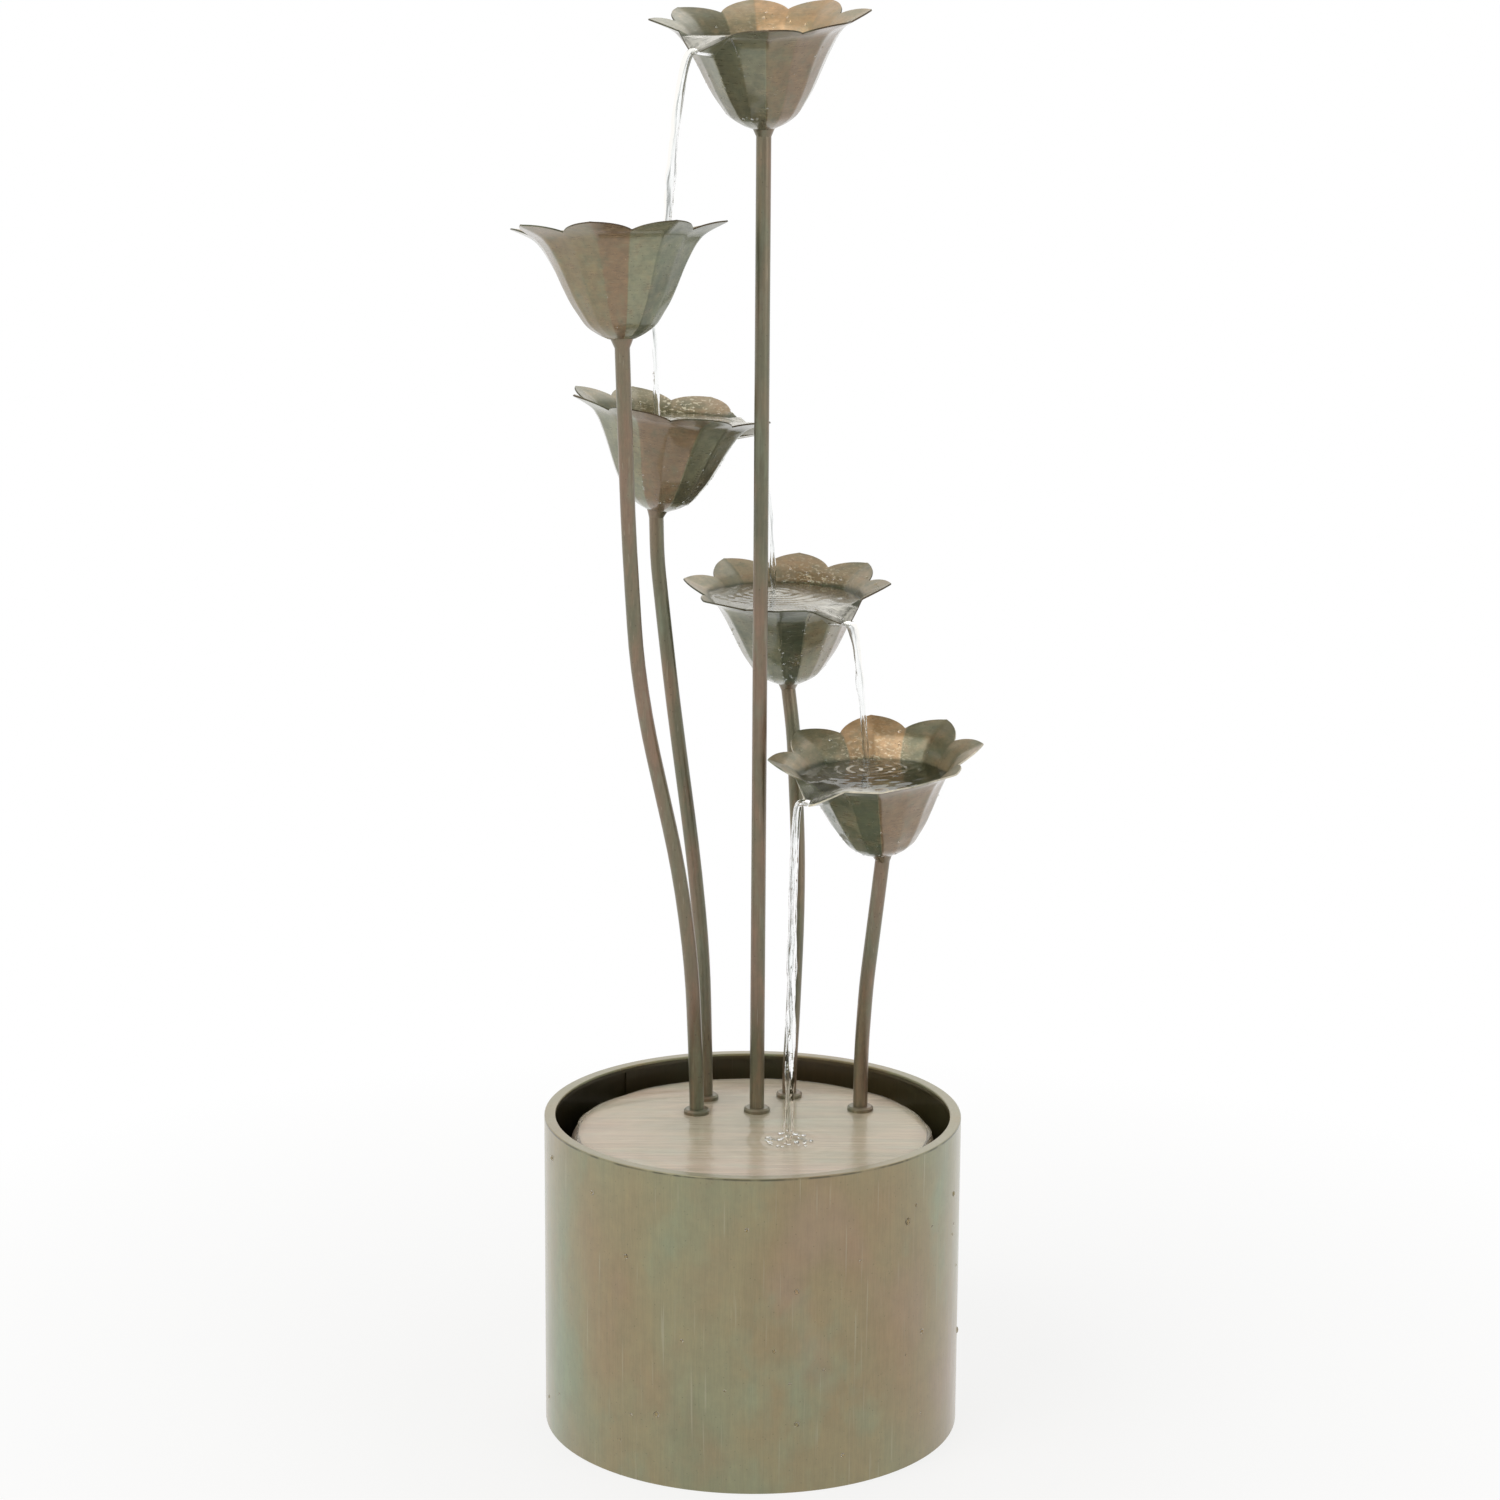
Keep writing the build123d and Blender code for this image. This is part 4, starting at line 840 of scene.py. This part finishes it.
pool = {
    "overLip": 12 * mm, "edgeFall": 0.5 * mm, "edgeReach": 0.10, "spillReach": 0.40, "film": 2.6 * mm,
    "intoWall": 0.35 * mm, "topRows": 48, "wallRows": 26, "slopeFrom": 20 * mm, "calmShare": 0.12,
    "ringHeight": 0.42 * mm, "ringLength": 8.0 * mm, "ringFade": 24.0 * mm,
    "swell": 0.07 * mm, "swellWaves": (210, 260, 480, 390), "foamReach": 20 * mm,
    "crestLength": 9.0 * mm, "crestReach": (4 * mm, 44 * mm), "crestDrift": 0.6, "crestBeside": 0.75,
    "brimReach": 0.37,
}


def lining(rings):
    # Inside of the sheet, where the water touches it, a little into the metal
    return rings - normalsOf(rings) * (cup["sheet"] - pool["intoWall"])


def poolLevel(flower, inner):
    # Over the lip's tip, and up to a little over the lowest notch, where the water stands proud of the edge
    notchColumns = np.arange(cup["facetColumns"], inner.shape[1], 2 * cup["facetColumns"])
    return min(inner[-1, 0, 2] + pool["overLip"], inner[-1, notchColumns, 2].min() + flower["proud"])


def makeCup(number, flower):
    # Rings in the cup's frame, leaned and put in place, then thickened inwards. Points carry their facet's tones,
    # how far they are under water, for the painted shade there, and how much splashes them, for painted glints: a
    # bell curve round the cup, fading from the water.
    local, along, angle = cupRings(cup["phaseStep"] * float(number))
    origin, axes = cupFrame(flower)
    rings = origin + local @ axes.T
    lift = (rings[..., 2] - poolLevel(flower, lining(rings))).ravel()
    aside = (np.degrees(angle) + flower["lip"] - flower["splashTurn"]) % 360 - 180
    splashed = np.tile(np.exp(-((aside / cup["splashWidth"]) ** 2)), len(rings))
    splashed = splashed * np.exp(-np.abs(lift) / cup["splashHeight"])
    mesh = meshFromRings("petalCup" + number, rings, along=along)
    addAttributes(mesh, {
        "outerTone": facetTones(flower, flower["outerTones"], angle, len(rings)),
        "innerTone": facetTones(flower, flower["innerTones"], angle, len(rings)),
        "underWater": smoothStep((flower["wetShadeBand"] - lift) / cup["wetShadeSoft"]),
        "splash": splashed * min(flower["splashes"] / cup["splashFull"], 1),
    })
    work = bmesh.new()
    work.from_mesh(mesh)
    bmesh.ops.remove_doubles(work, verts=work.verts, dist=cup["mergeWithin"])
    work.to_mesh(mesh)
    work.free()
    finishes = [cupPatina(number, flower, side) for side in ("outside", "inside", "edge")]
    piece = putPiece("petalCup" + number, mesh, "deck", finishes, ["cup_" + number])
    sheet = piece.modifiers.new("sheet", "SOLIDIFY")
    sheet.thickness = cup["sheet"]
    sheet.offset = -1
    sheet.use_even_offset = False
    sheet.use_quality_normals = True
    sheet.material_offset = 1
    sheet.material_offset_rim = 2
    applyModifiers(piece, radians(cup["creaseAngle"]))
    return rings


cupGrids = {number: makeCup(number, flower) for number, flower in flowers.items()}
print("petal cups made:", len(cupGrids))

# Water standing in the cups


def atRow(grid, place):
    # Grid points at a fractional row of each column
    low = np.clip(place.astype(int), 0, grid.shape[0] - 2)
    part = (place - low)[..., None]
    column = np.broadcast_to(np.arange(grid.shape[1]), low.shape)
    return grid[low, column] * (1 - part) + grid[low + 1, column] * part


def landingPoint(flower):
    # Where the cup's stream lands, in plan
    return np.array(flower["lands"]) * mm


def fadingRings(away, length, fade, phase=0.0):
    # Cosine of the way out, times a falling exponential
    return np.cos(2 * pi * away / length + phase) * np.exp(-away / fade)


def crossedWaves(x, y, waves, phases):
    # A sine across times a cosine along, and a sine half as high at a slant; waves are in radians a metre
    across, along, slantX, slantY = waves
    straight = np.sin(across * x + phases[0]) * np.cos(along * y + phases[1])
    return straight + 0.5 * np.sin(slantX * x - slantY * y + phases[2])


def makePool(number, flower, centre):
    # Closed body of water: up the inside of the cup from its floor, then over a rounded edge to the level middle.
    # Over the lip the surface bends down to a film along the lip's edge. The body reaches a little into the sheet,
    # so that light in the water meets the metal with no air between.
    inner = lining(cupGrids[number])
    level = poolLevel(flower, inner)
    wall = inner[cup["floorRows"]:]
    towardsLip = fromFront(flower["lip"])[:2]
    lipTip = inner[-1, 0, :2]
    phase = float(number)

    def surfaceAt(points):
        # The moving water stands higher the further it is from the lip
        upstream = (lipTip - points[..., :2]) @ towardsLip - pool["slopeFrom"]
        return level + flower["slope"] * np.maximum(upstream, 0)

    def ripples(x, y):
        # Rings round where the stream lands, over a slow swell
        rings = fadingRings(np.hypot(x - centre[0], y - centre[1]), pool["ringLength"], pool["ringFade"], phase)
        swell = crossedWaves(x, y, pool["swellWaves"], (phase, -phase, 2 * phase))
        return flower["rings"] * pool["ringHeight"] * rings + pool["swell"] * swell

    above = wall[..., 2] >= surfaceAt(wall) - pool["edgeFall"]
    spills = ~above.any(axis=0)
    first = np.where(spills, len(wall) - 1, above.argmax(axis=0))
    column = np.arange(wall.shape[1])
    below, over = wall[first - 1, column, 2], wall[first, column, 2]
    climb = (surfaceAt(wall[-1]) - pool["edgeFall"] - below) / (over - below + 1e-12)
    place = np.where(spills, len(wall) - 1.0, first - 1 + np.clip(climb, 0, 1))
    side = atRow(wall, np.linspace(0, 1, pool["wallRows"] + 1)[:, None] * place)
    edge = side[-1].copy()
    edgeLevel = surfaceAt(edge) - pool["edgeFall"]
    edge[:, 2] = np.where(spills, np.minimum(edge[:, 2] + pool["film"], edgeLevel), edgeLevel)
    middle = edge[:, :2].mean(axis=0)
    inwards = np.linspace(0, 1, pool["topRows"] + 1)[:-1, None]
    x, y = (edge[:, k] + (middle[k] - edge[:, k]) * inwards for k in (0, 1))
    reach = np.where(spills, pool["spillReach"], pool["edgeReach"])
    rise = np.sin(pi / 2 * np.clip(inwards / reach, 0, 1))
    calm = smoothStep(inwards / pool["calmShare"])
    z = edge[:, 2] + (surfaceAt(np.stack([x, y], -1)) - edge[:, 2]) * rise + calm * ripples(x, y)
    top = toPoints(x, y, z)
    pole = np.array([*middle, surfaceAt(middle) + ripples(*middle)])
    bottom = side[0].mean(axis=0)
    mesh = meshFromRings("poolWater" + number, np.concatenate([side, top]), startPole=bottom, endPole=pole)

    # Foam, partly painted reflection, lies along the run from landing to lip, painted glints on crests go round a
    # point between landing and middle, and the brim is painted white as a reflection about one direction
    plan = np.concatenate([side.reshape(-1, 3), top.reshape(-1, 3), [bottom, pole]])[:, :2]
    run = lipTip - centre
    onRun = np.clip(((plan - centre) @ run) / (run @ run), 0, 1)
    fromRun = np.linalg.norm(plan - centre - onRun[:, None] * run, axis=1)
    fromRings = plan - centre - pool["crestDrift"] * (middle - centre)
    ringsOut = np.linalg.norm(fromRings, axis=1)
    near, far = pool["crestReach"]
    beside = 1 - pool["crestBeside"] * (1 - (fromRings[:, 0] / np.maximum(ringsOut, 1e-6)) ** 2)
    fading = smoothStep(ringsOut / near) * (1 - smoothStep((ringsOut - near) / (far - near)))
    towards, halfWidth, strength = flower["brim"]
    aside = (np.degrees(np.arctan2(x - middle[0], middle[1] - y)) - towards + 180) % 360 - 180
    brim = strength * np.exp(-((aside / halfWidth) ** 2)) * (1 - smoothStep(inwards / pool["brimReach"]))
    addAttributes(mesh, {
        "foam": flower["foam"] * np.exp(-((fromRun / pool["foamReach"]) ** 2)),
        "mirror": np.full(len(plan), flower["mirror"]),
        "crest": flower["crests"] * beside * fading, "wave": ringsOut / pool["crestLength"],
        "brim": np.concatenate([np.zeros(side.shape[0] * side.shape[1]), brim.ravel(), [0, 0]]),
    })
    putPiece("poolWater" + number, mesh, "deck", [poolWater])
    return level, inner


# Where water comes down into each cup, in plan: up the stem into the first, and from the one above into the others
arriving = {"1": np.array(flowers["1"]["underside"][:2]) * mm}
for number in "1234":
    arriving[str(int(number) + 1)] = landingPoint(flowers[number])
levels, linings = {}, {}
for number, flower in flowers.items():
    levels[number], linings[number] = makePool(number, flower, arriving[number])
print("water levels in mm:", {number: round(level / mm, 1) for number, level in levels.items()})

# Falling streams

fall = {
    "gravity": 9.81, "tongueRows": 12, "fallRows": 130, "rowEase": 1.15, "endRows": 4, "columns": 32,
    "lipHalfWidth": 5.2 * mm, "halfWidth": 2.1 * mm, "halfDepth": 1.7 * mm, "lipFlatness": 0.35,
    "sink": 3.0 * mm, "lipDepth": 1.8 * mm, "turnsPerMetre": 15, "gridLength": 100 * mm,
    "lobes": [(2, 1.0, 1.0, 0.0), (3, 0.6, -1.6, 1.0), (5, 0.4, 2.3, -pi / 2)],  # how many, depth, twist, start
    "beading": [(0.16, 7 * mm, 2.0), (0.10, 3.1 * mm, 0.0)],  # depth, length, start
    "sway": 0.8 * mm, "swayLength": 23 * mm, "ontoDeck": 2.5 * mm,
    "ripples": 300, "rippleHeight": 0.2 * mm, "streakStep": 3.0,
}
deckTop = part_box("foot_collars")[0].z


def makeStream(number, flower, endLevel):
    # Tube along the water's path: level over the lip, then a falling parabola to where it lands. Its section is a
    # flat oval at the lip that draws in as it speeds up, with lobes that twist as they fall, which look like ropes.
    phase = float(number)
    overLip = np.array([0, 0, fall["lipDepth"]])
    tip = linings[number][-1, 0] + overLip
    root = linings[number][cup["floorRows"] + cup["bodyRows"], 0] + overLip
    landing = np.array([*landingPoint(flower), endLevel - fall["sink"]])
    share = np.linspace(0, 1, fall["fallRows"])[:, None] ** fall["rowEase"]
    time = np.sqrt(2 * (tip[2] - landing[2]) / fall["gravity"])
    level = (landing - tip) * np.array([1, 1, 0]) * share ** flower["thrown"]
    falling = tip + level - np.array([0, 0, 0.5 * fall["gravity"] * time**2]) * share**2
    start = np.linspace(0, 1, fall["tongueRows"], endpoint=False)[:, None]
    path = np.concatenate([root + (tip - root) * start, falling])
    tangent = np.gradient(path, axis=0)
    tangent /= np.linalg.norm(tangent, axis=1, keepdims=True)
    heading = (landing - tip)[:2] / np.linalg.norm((landing - tip)[:2])
    side = np.broadcast_to(np.array([-heading[1], heading[0], 0]), path.shape)
    out = np.cross(tangent, side)
    fallen = np.maximum(tip[2] - path[:, 2], 0)[:, None]
    ease = np.exp(-fallen / flower["narrowing"])
    narrow = flower["streamWidth"] * fall["halfWidth"]
    width = narrow * (1 - ease) + max(fall["lipHalfWidth"], narrow) * ease
    depth = flower["streamWidth"] * fall["halfDepth"] * (1 - fall["lipFlatness"] * ease)
    row = np.arange(len(path))
    ends = np.sqrt(np.clip(np.minimum(row + 1, len(path) - row) / fall["endRows"], 0, 1))[:, None]
    around = fullTurn(fall["columns"])
    turn = 2 * pi * fall["turnsPerMetre"] * fallen
    lobes = sum(deep * np.cos(count * around + twist * turn + at) for count, deep, twist, at in fall["lobes"])
    beading = sum(deep * np.sin(fallen / length + at * phase) for deep, length, at in fall["beading"])
    swell = (1 + flower["ropes"] * (1 - ease) * lobes) * (1 + beading * (1 - ease)) * ends
    centre = path + side * fall["sway"] * (1 - ease) * np.sin(fallen / fall["swayLength"] + phase)
    x, y = width * swell * np.cos(around), depth * swell * np.sin(around)
    rings = centre[:, None] + x[..., None] * side[:, None] + y[..., None] * out[:, None]
    along = np.broadcast_to(fallen / fall["gridLength"], rings.shape[:2])
    name = "waterStream" + number
    mesh = meshFromRings(name, rings[:, ::-1], startPole=centre[0], endPole=centre[-1], along=along)
    putPiece(name, mesh, "deck", [water(
        "streamWater" + number, fall["ripples"], fall["rippleHeight"], waterLook["streamTint"],
        streakShift=fall["streakStep"] * phase,
    )])


for number, flower in flowers.items():
    makeStream(number, flower, levels.get(str(int(number) + 1), deckTop + fall["ontoDeck"]))
print("streams made")

# Wet film on the deck, and water in the basin under it

film = {
    "edge": 3 * mm, "depth": 0.9 * mm, "rows": 90, "columns": 260, "sink": 0.4 * mm,
    "edgeWaves": [(9, 0.006), (17, 0.004)],  # how many, share of the radius
    "ringHeight": 0.26 * mm, "ringLength": 11 * mm, "ringFade": 26 * mm, "edgeShare": 0.06,
    "foldHeight": 0.10 * mm, "foldLength": 3.4 * mm, "foldCentre": (60 * mm, -30 * mm), "foldStretch": 1.6,
    "foldBend": 2.5, "foldWaves": (18, 9), "foldReach": 60 * mm,
}
basinWater = {
    "level": 150 * mm, "thickness": 6 * mm, "clearance": 0.6 * mm, "rows": 60, "columns": 160,
    "height": 0.6 * mm, "waves": (95, 120, 260, 190), "phases": (0.7, 0, 0), "calmShare": 0.1,
}


def putSheet(name, body, top, middle, low):
    # Closes a round sheet of water whose rings run from its edge inwards: a point in its middle, and a flat
    # underside at the height low
    under = toPoints(top[0, :, 0], top[0, :, 1], low)
    mesh = meshFromRings(name, np.concatenate([under[None], top]), startPole=(0, 0, low), endPole=(0, 0, middle))
    putPiece(name, mesh, body, [filmWater])


def makeDeckFilm():
    # Thin film of water over the deck, round the stems and out to the edge: rings spread from where the last stream
    # lands, and slow folds bend round towards the left side
    centre = landingPoint(flowers["5"])
    around = fullTurn(film["columns"])
    inwards = np.linspace(0, 1, film["rows"])[:, None]
    uneven = 1 + sum(share * np.sin(count * around) for count, share in film["edgeWaves"])
    reach = (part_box("deck_plate")[1].x - film["edge"]) * uneven
    x, y = reach * np.sin(around) * (1 - inwards), -reach * np.cos(around) * (1 - inwards)
    away = np.hypot(x - centre[0], y - centre[1])
    rings = film["ringHeight"] * fadingRings(away, film["ringLength"], film["ringFade"])
    bend = np.hypot(x - film["foldCentre"][0], (y - film["foldCentre"][1]) * film["foldStretch"])
    wander = film["foldBend"] * np.sin(film["foldWaves"][0] * x + film["foldWaves"][1] * y)
    folds = film["foldHeight"] * np.sin(bend / film["foldLength"] + wander)
    depth = film["depth"] + rings + folds * smoothStep(-x / film["foldReach"])
    z = deckTop + depth * smoothStep(inwards / film["edgeShare"])
    putSheet("deckFilm", "deck", toPoints(x, y, z)[:-1], z[-1, 0], deckTop - film["sink"])


def makeBasinWater():
    # Top layer of the basin's water, gently rippled from wall to wall
    around = fullTurn(basinWater["columns"])
    inwards = np.linspace(0, 1, basinWater["rows"])[:-1, None]
    radius = (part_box("basin_floor")[1].x - basinWater["clearance"]) * (1 - inwards)
    x, y = radius * np.sin(around), -radius * np.cos(around)
    waves = basinWater["height"] * crossedWaves(x, y, basinWater["waves"], basinWater["phases"])
    z = basinWater["level"] + waves * smoothStep(inwards / basinWater["calmShare"])
    low = basinWater["level"] - basinWater["thickness"]
    putSheet("basinWater", "basin", toPoints(x, y, z), basinWater["level"], low)


makeDeckFilm()
makeBasinWater()
print("deck film and basin water made")

# Drops and bubbles

drop = {"rings": 5, "columns": 9, "tall": 0.55, "underside": -0.1}


def makeDrops(name, places, facing, radii, body, tall=drop["tall"], steep=0.0, finish=dropWater):
    # One low dome for each place, standing along facing: its section is a quarter ellipse, or from the angle steep
    # on only the ellipse's cap, and it is closed underneath
    facing = facing / np.linalg.norm(facing, axis=1, keepdims=True)
    helper = np.where(np.abs(facing[:, 2:]) < 0.9, np.array([[0, 0, 1.0]]), np.array([[1.0, 0, 0]]))
    first = np.cross(helper, facing)
    first /= np.linalg.norm(first, axis=1, keepdims=True)
    axes = np.stack([first, np.cross(facing, first), facing], 1)
    rows, columns = drop["rings"], drop["columns"]
    climb = np.linspace(steep, pi / 2, rows + 1)[:-1, None]
    around = fullTurn(columns)
    out = np.cos(climb) / np.cos(steep)
    rise = (np.sin(climb) - np.sin(steep)) / (1 - np.sin(steep))
    unit = toPoints(out * np.cos(around), out * np.sin(around), rise).reshape(-1, 3)
    unit = np.concatenate([unit, [[0, 0, 1.0], [0, 0, drop["underside"]]]]) * np.array([1, 1, tall])
    points = places[:, None] + radii[:, None, None] * np.einsum("vk,nkc->nvc", unit, axes)
    index, right, quads = gridQuads(rows, columns)
    top = np.stack([index[-1], right[-1], np.full(columns, rows * columns)], -1)
    base = np.stack([right[0], index[0], np.full(columns, rows * columns + 1)], -1)
    step = (np.arange(len(places)) * len(unit))[:, None, None]
    faces = [face for part in (quads, top, base) for face in (part + step).reshape(-1, part.shape[1]).tolist()]
    mesh = bpy.data.meshes.new(name)
    mesh.from_pydata(points.reshape(-1, 3).tolist(), [], faces)
    mesh.shade_smooth()
    putPiece(name, mesh, body, [finish])


random = np.random.default_rng(11)
drumRadius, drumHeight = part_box("basin_wall")[1].x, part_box("basin_wall")[1].z
drumDrops = {
    "count": 54, "lowest": 0.08, "highest": 0.93, "sizes": (0.9 * mm, 2.8 * mm), "smallMost": 2.5,
    "tall": 0.42, "steep": 0.5,
}
angles = random.uniform(0, 2 * pi, drumDrops["count"])
heights = drumHeight * random.uniform(drumDrops["lowest"], drumDrops["highest"], drumDrops["count"])
outward = toPoints(np.sin(angles), -np.cos(angles), 0.0)
spots = outward * drumRadius + toPoints(0.0, 0.0, heights)
sizeShares = random.random(drumDrops["count"]) ** drumDrops["smallMost"]
sizes = drumDrops["sizes"][0] + np.ptp(drumDrops["sizes"]) * sizeShares
makeDrops("drumDrops", spots, outward, sizes, "basin", drumDrops["tall"], drumDrops["steep"], dullWater)

# rows are left free at the cup's foot and below its rim
cupBeads = {
    "most": 220, "power": 1.3, "spread": 50, "rows": (6, 2), "sizes": (0.35 * mm, 0.95 * mm), "steep": 0.3,
}
splash = {
    "tries": 6, "spread": 25, "rows": (10, 3), "lowest": 1.5 * mm, "fade": 14 * mm,
    "smallest": 0.35 * mm, "range": 1.1 * mm, "smallMost": 1.6,
}
bubbles = {
    "count": 26, "spread": 11 * mm, "deckCount": 40, "deckSpread": 17 * mm, "inner": 0.08, "afloat": 0.2 * mm,
    "sizes": (0.6 * mm, 2.0 * mm), "tall": 0.8,
}


def scatterColumns(flower, count, spread, towards, columnCount):
    # Columns of a cup's grid scattered round a direction, which is an angle from the front
    turn = random.normal(0, spread, count) + towards - flower["lip"]
    return np.round(turn / 360 * columnCount).astype(int) % columnCount


def makeCupDrops(number, flower):
    # Beads on the outside of a cup, mostly on the side where water runs
    rings = cupGrids[number]
    count = int(cupBeads["most"] * flower["wet"] ** cupBeads["power"])
    spare = cupBeads["rows"]
    rows = random.integers(cup["floorRows"] + spare[0], cup["floorRows"] + cup["bodyRows"] - spare[1], count)
    columns = scatterColumns(flower, count, cupBeads["spread"], flower["wetSide"], rings.shape[1])
    sizes = random.uniform(*cupBeads["sizes"], count)
    spots, facing = rings[rows, columns], normalsOf(rings)[rows, columns]
    makeDrops("cupDrops" + number, spots, facing, sizes, "deck", steep=cupBeads["steep"])


def makeSplashes(number, flower):
    # Beads thrown up inside a cup, over its water and round where the stream lands, fewer the higher they are
    rings = cupGrids[number]
    normals = normalsOf(rings)
    towards, count = 180 + flower["splashTurn"], splash["tries"] * flower["splashes"]
    columns = scatterColumns(flower, count, splash["spread"], towards, rings.shape[1])
    rows = random.integers(cup["floorRows"] + splash["rows"][0], len(rings) - splash["rows"][1], count)
    spots = (rings - normals * cup["sheet"])[rows, columns]
    lift = spots[:, 2] - levels[number]
    kept = (lift > splash["lowest"]) & (random.random(count) < np.exp(-lift / splash["fade"]))
    spots, facing = spots[kept][:flower["splashes"]], -normals[rows, columns][kept][:flower["splashes"]]
    if len(spots):
        radii = splash["smallest"] + splash["range"] * random.random(len(spots)) ** splash["smallMost"]
        makeDrops("splashDrops" + number, spots, facing, radii, "deck")


def makeBubbles(name, centre, level, count, spread):
    # Bubbles afloat round a landing stream
    angles = random.uniform(0, 2 * pi, count)
    away = spread * np.sqrt(random.uniform(bubbles["inner"], 1, count))
    height = level + bubbles["afloat"]
    places = toPoints(centre[0] + away * np.cos(angles), centre[1] + away * np.sin(angles), height)
    up = np.tile([0.0, 0.0, 1.0], (count, 1))
    makeDrops(name, places, up, random.uniform(*bubbles["sizes"], count), "deck", bubbles["tall"])


for number, flower in flowers.items():
    makeCupDrops(number, flower)
for number, flower in flowers.items():
    makeSplashes(number, flower)
for number in "2345":
    makeBubbles("bubbles" + number, arriving[number], levels[number], bubbles["count"], bubbles["spread"])
makeBubbles(
    "deckBubbles", landingPoint(flowers["5"]), deckTop + film["depth"], bubbles["deckCount"], bubbles["deckSpread"]
)
print("drops and bubbles made")

# Floor, world and lamps

studio = {
    "floorRadius": 30.0, "floorSides": 96, "floorLevel": -0.3 * mm, "floorTone": (0.86, 0.86, 0.855),
    "floorClouds": 3, "cloudShare": 1.02, "floorRoughness": 0.7, "floorGlow": (0.80, 1.0), "glowReach": (0.25, 0.9),
    "diffuseLevel": 0.60, "frontLevel": 0.45, "tentSpan": (-1.0, 0.2),
    "softTone": (1.0, 0.985, 0.945), "lampTone": (1.0, 0.98, 0.93),
    "lamps": [
        # name, place, aims at, size, watts
        ("keyLamp", (-1.7, -1.7, 2.2), (0, 0, 0.5), 2.2, 31),
        ("fillLamp", (2.1, -1.4, 1.3), (0, 0, 0.5), 1.8, 10),
        ("backLamp", (0.6, 2.0, 2.2), (0, 0, 0.6), 1.6, 5),
    ],
}


def makeFloor():
    # Flat disc: plain white where it is seen away from the object, and under it pale enough to take its shadow
    mesh = bpy.data.meshes.new("floor")
    angles = fullTurn(studio["floorSides"])
    radius = studio["floorRadius"]
    edge = toPoints(radius * np.cos(angles), radius * np.sin(angles), studio["floorLevel"])
    mesh.from_pydata(edge.tolist(), [], [list(range(len(edge)))])
    obj = addObject("floor", mesh)
    s = materialShader("paleFloor")
    cloud = s.noise(s.objectCoords, studio["floorClouds"])
    tones = [(0.3, studio["floorTone"]), (0.7, scaled(studio["floorTone"], studio["cloudShare"]))]
    plain = s.principled(Base_Color=s.ramp(cloud, tones), Roughness=studio["floorRoughness"])
    seen = s.rays("Is Camera Ray", "Is Glossy Ray", "Is Transmission Ray")
    share = s.span(s.length(s.objectCoords), *studio["glowReach"], *studio["floorGlow"])
    mesh.materials.append(s.surface(s.mixShader(s.times(seen, share), plain, s.node("Emission", {}, "Emission"))))


def makeWorld():
    # White where it is seen, straight or through water. For light and reflections it is a white tent that is darker
    # on the camera's side.
    world = bpy.data.worlds.new("studioWorld")
    bpy.context.scene.world = world
    s = Shader(world, "OutputWorld")
    tent = s.span(s.part(s.outward, "Y"), *studio["tentSpan"], studio["frontLevel"], 1.0, "SMOOTHSTEP")
    level = s.span(s.rays("Is Glossy Ray"), 0.0, 1.0, studio["diffuseLevel"], 1.0)
    soft = s.node("Background", {"Color": studio["softTone"], "Strength": s.times(tent, level)}, "Background")
    shown = s.node("Background", {"Color": (1, 1, 1)}, "Background")
    s.surface(s.mixShader(s.rays("Is Camera Ray", "Is Transmission Ray"), soft, shown))


def makeLamp(name, place, aim, size, watts):
    # Round area lamp that faces its aim
    data = bpy.data.lights.new(name, "AREA")
    data.shape = "DISK"
    data.size = size
    data.energy = watts
    data.color = studio["lampTone"]
    obj = addObject(name, data)
    obj.location = place
    obj.rotation_euler = (Vector(aim) - Vector(place)).to_track_quat("-Z", "Y").to_euler()


makeFloor()
makeWorld()
for lamp in studio["lamps"]:
    makeLamp(*lamp)
print("floor, world and lamps made")
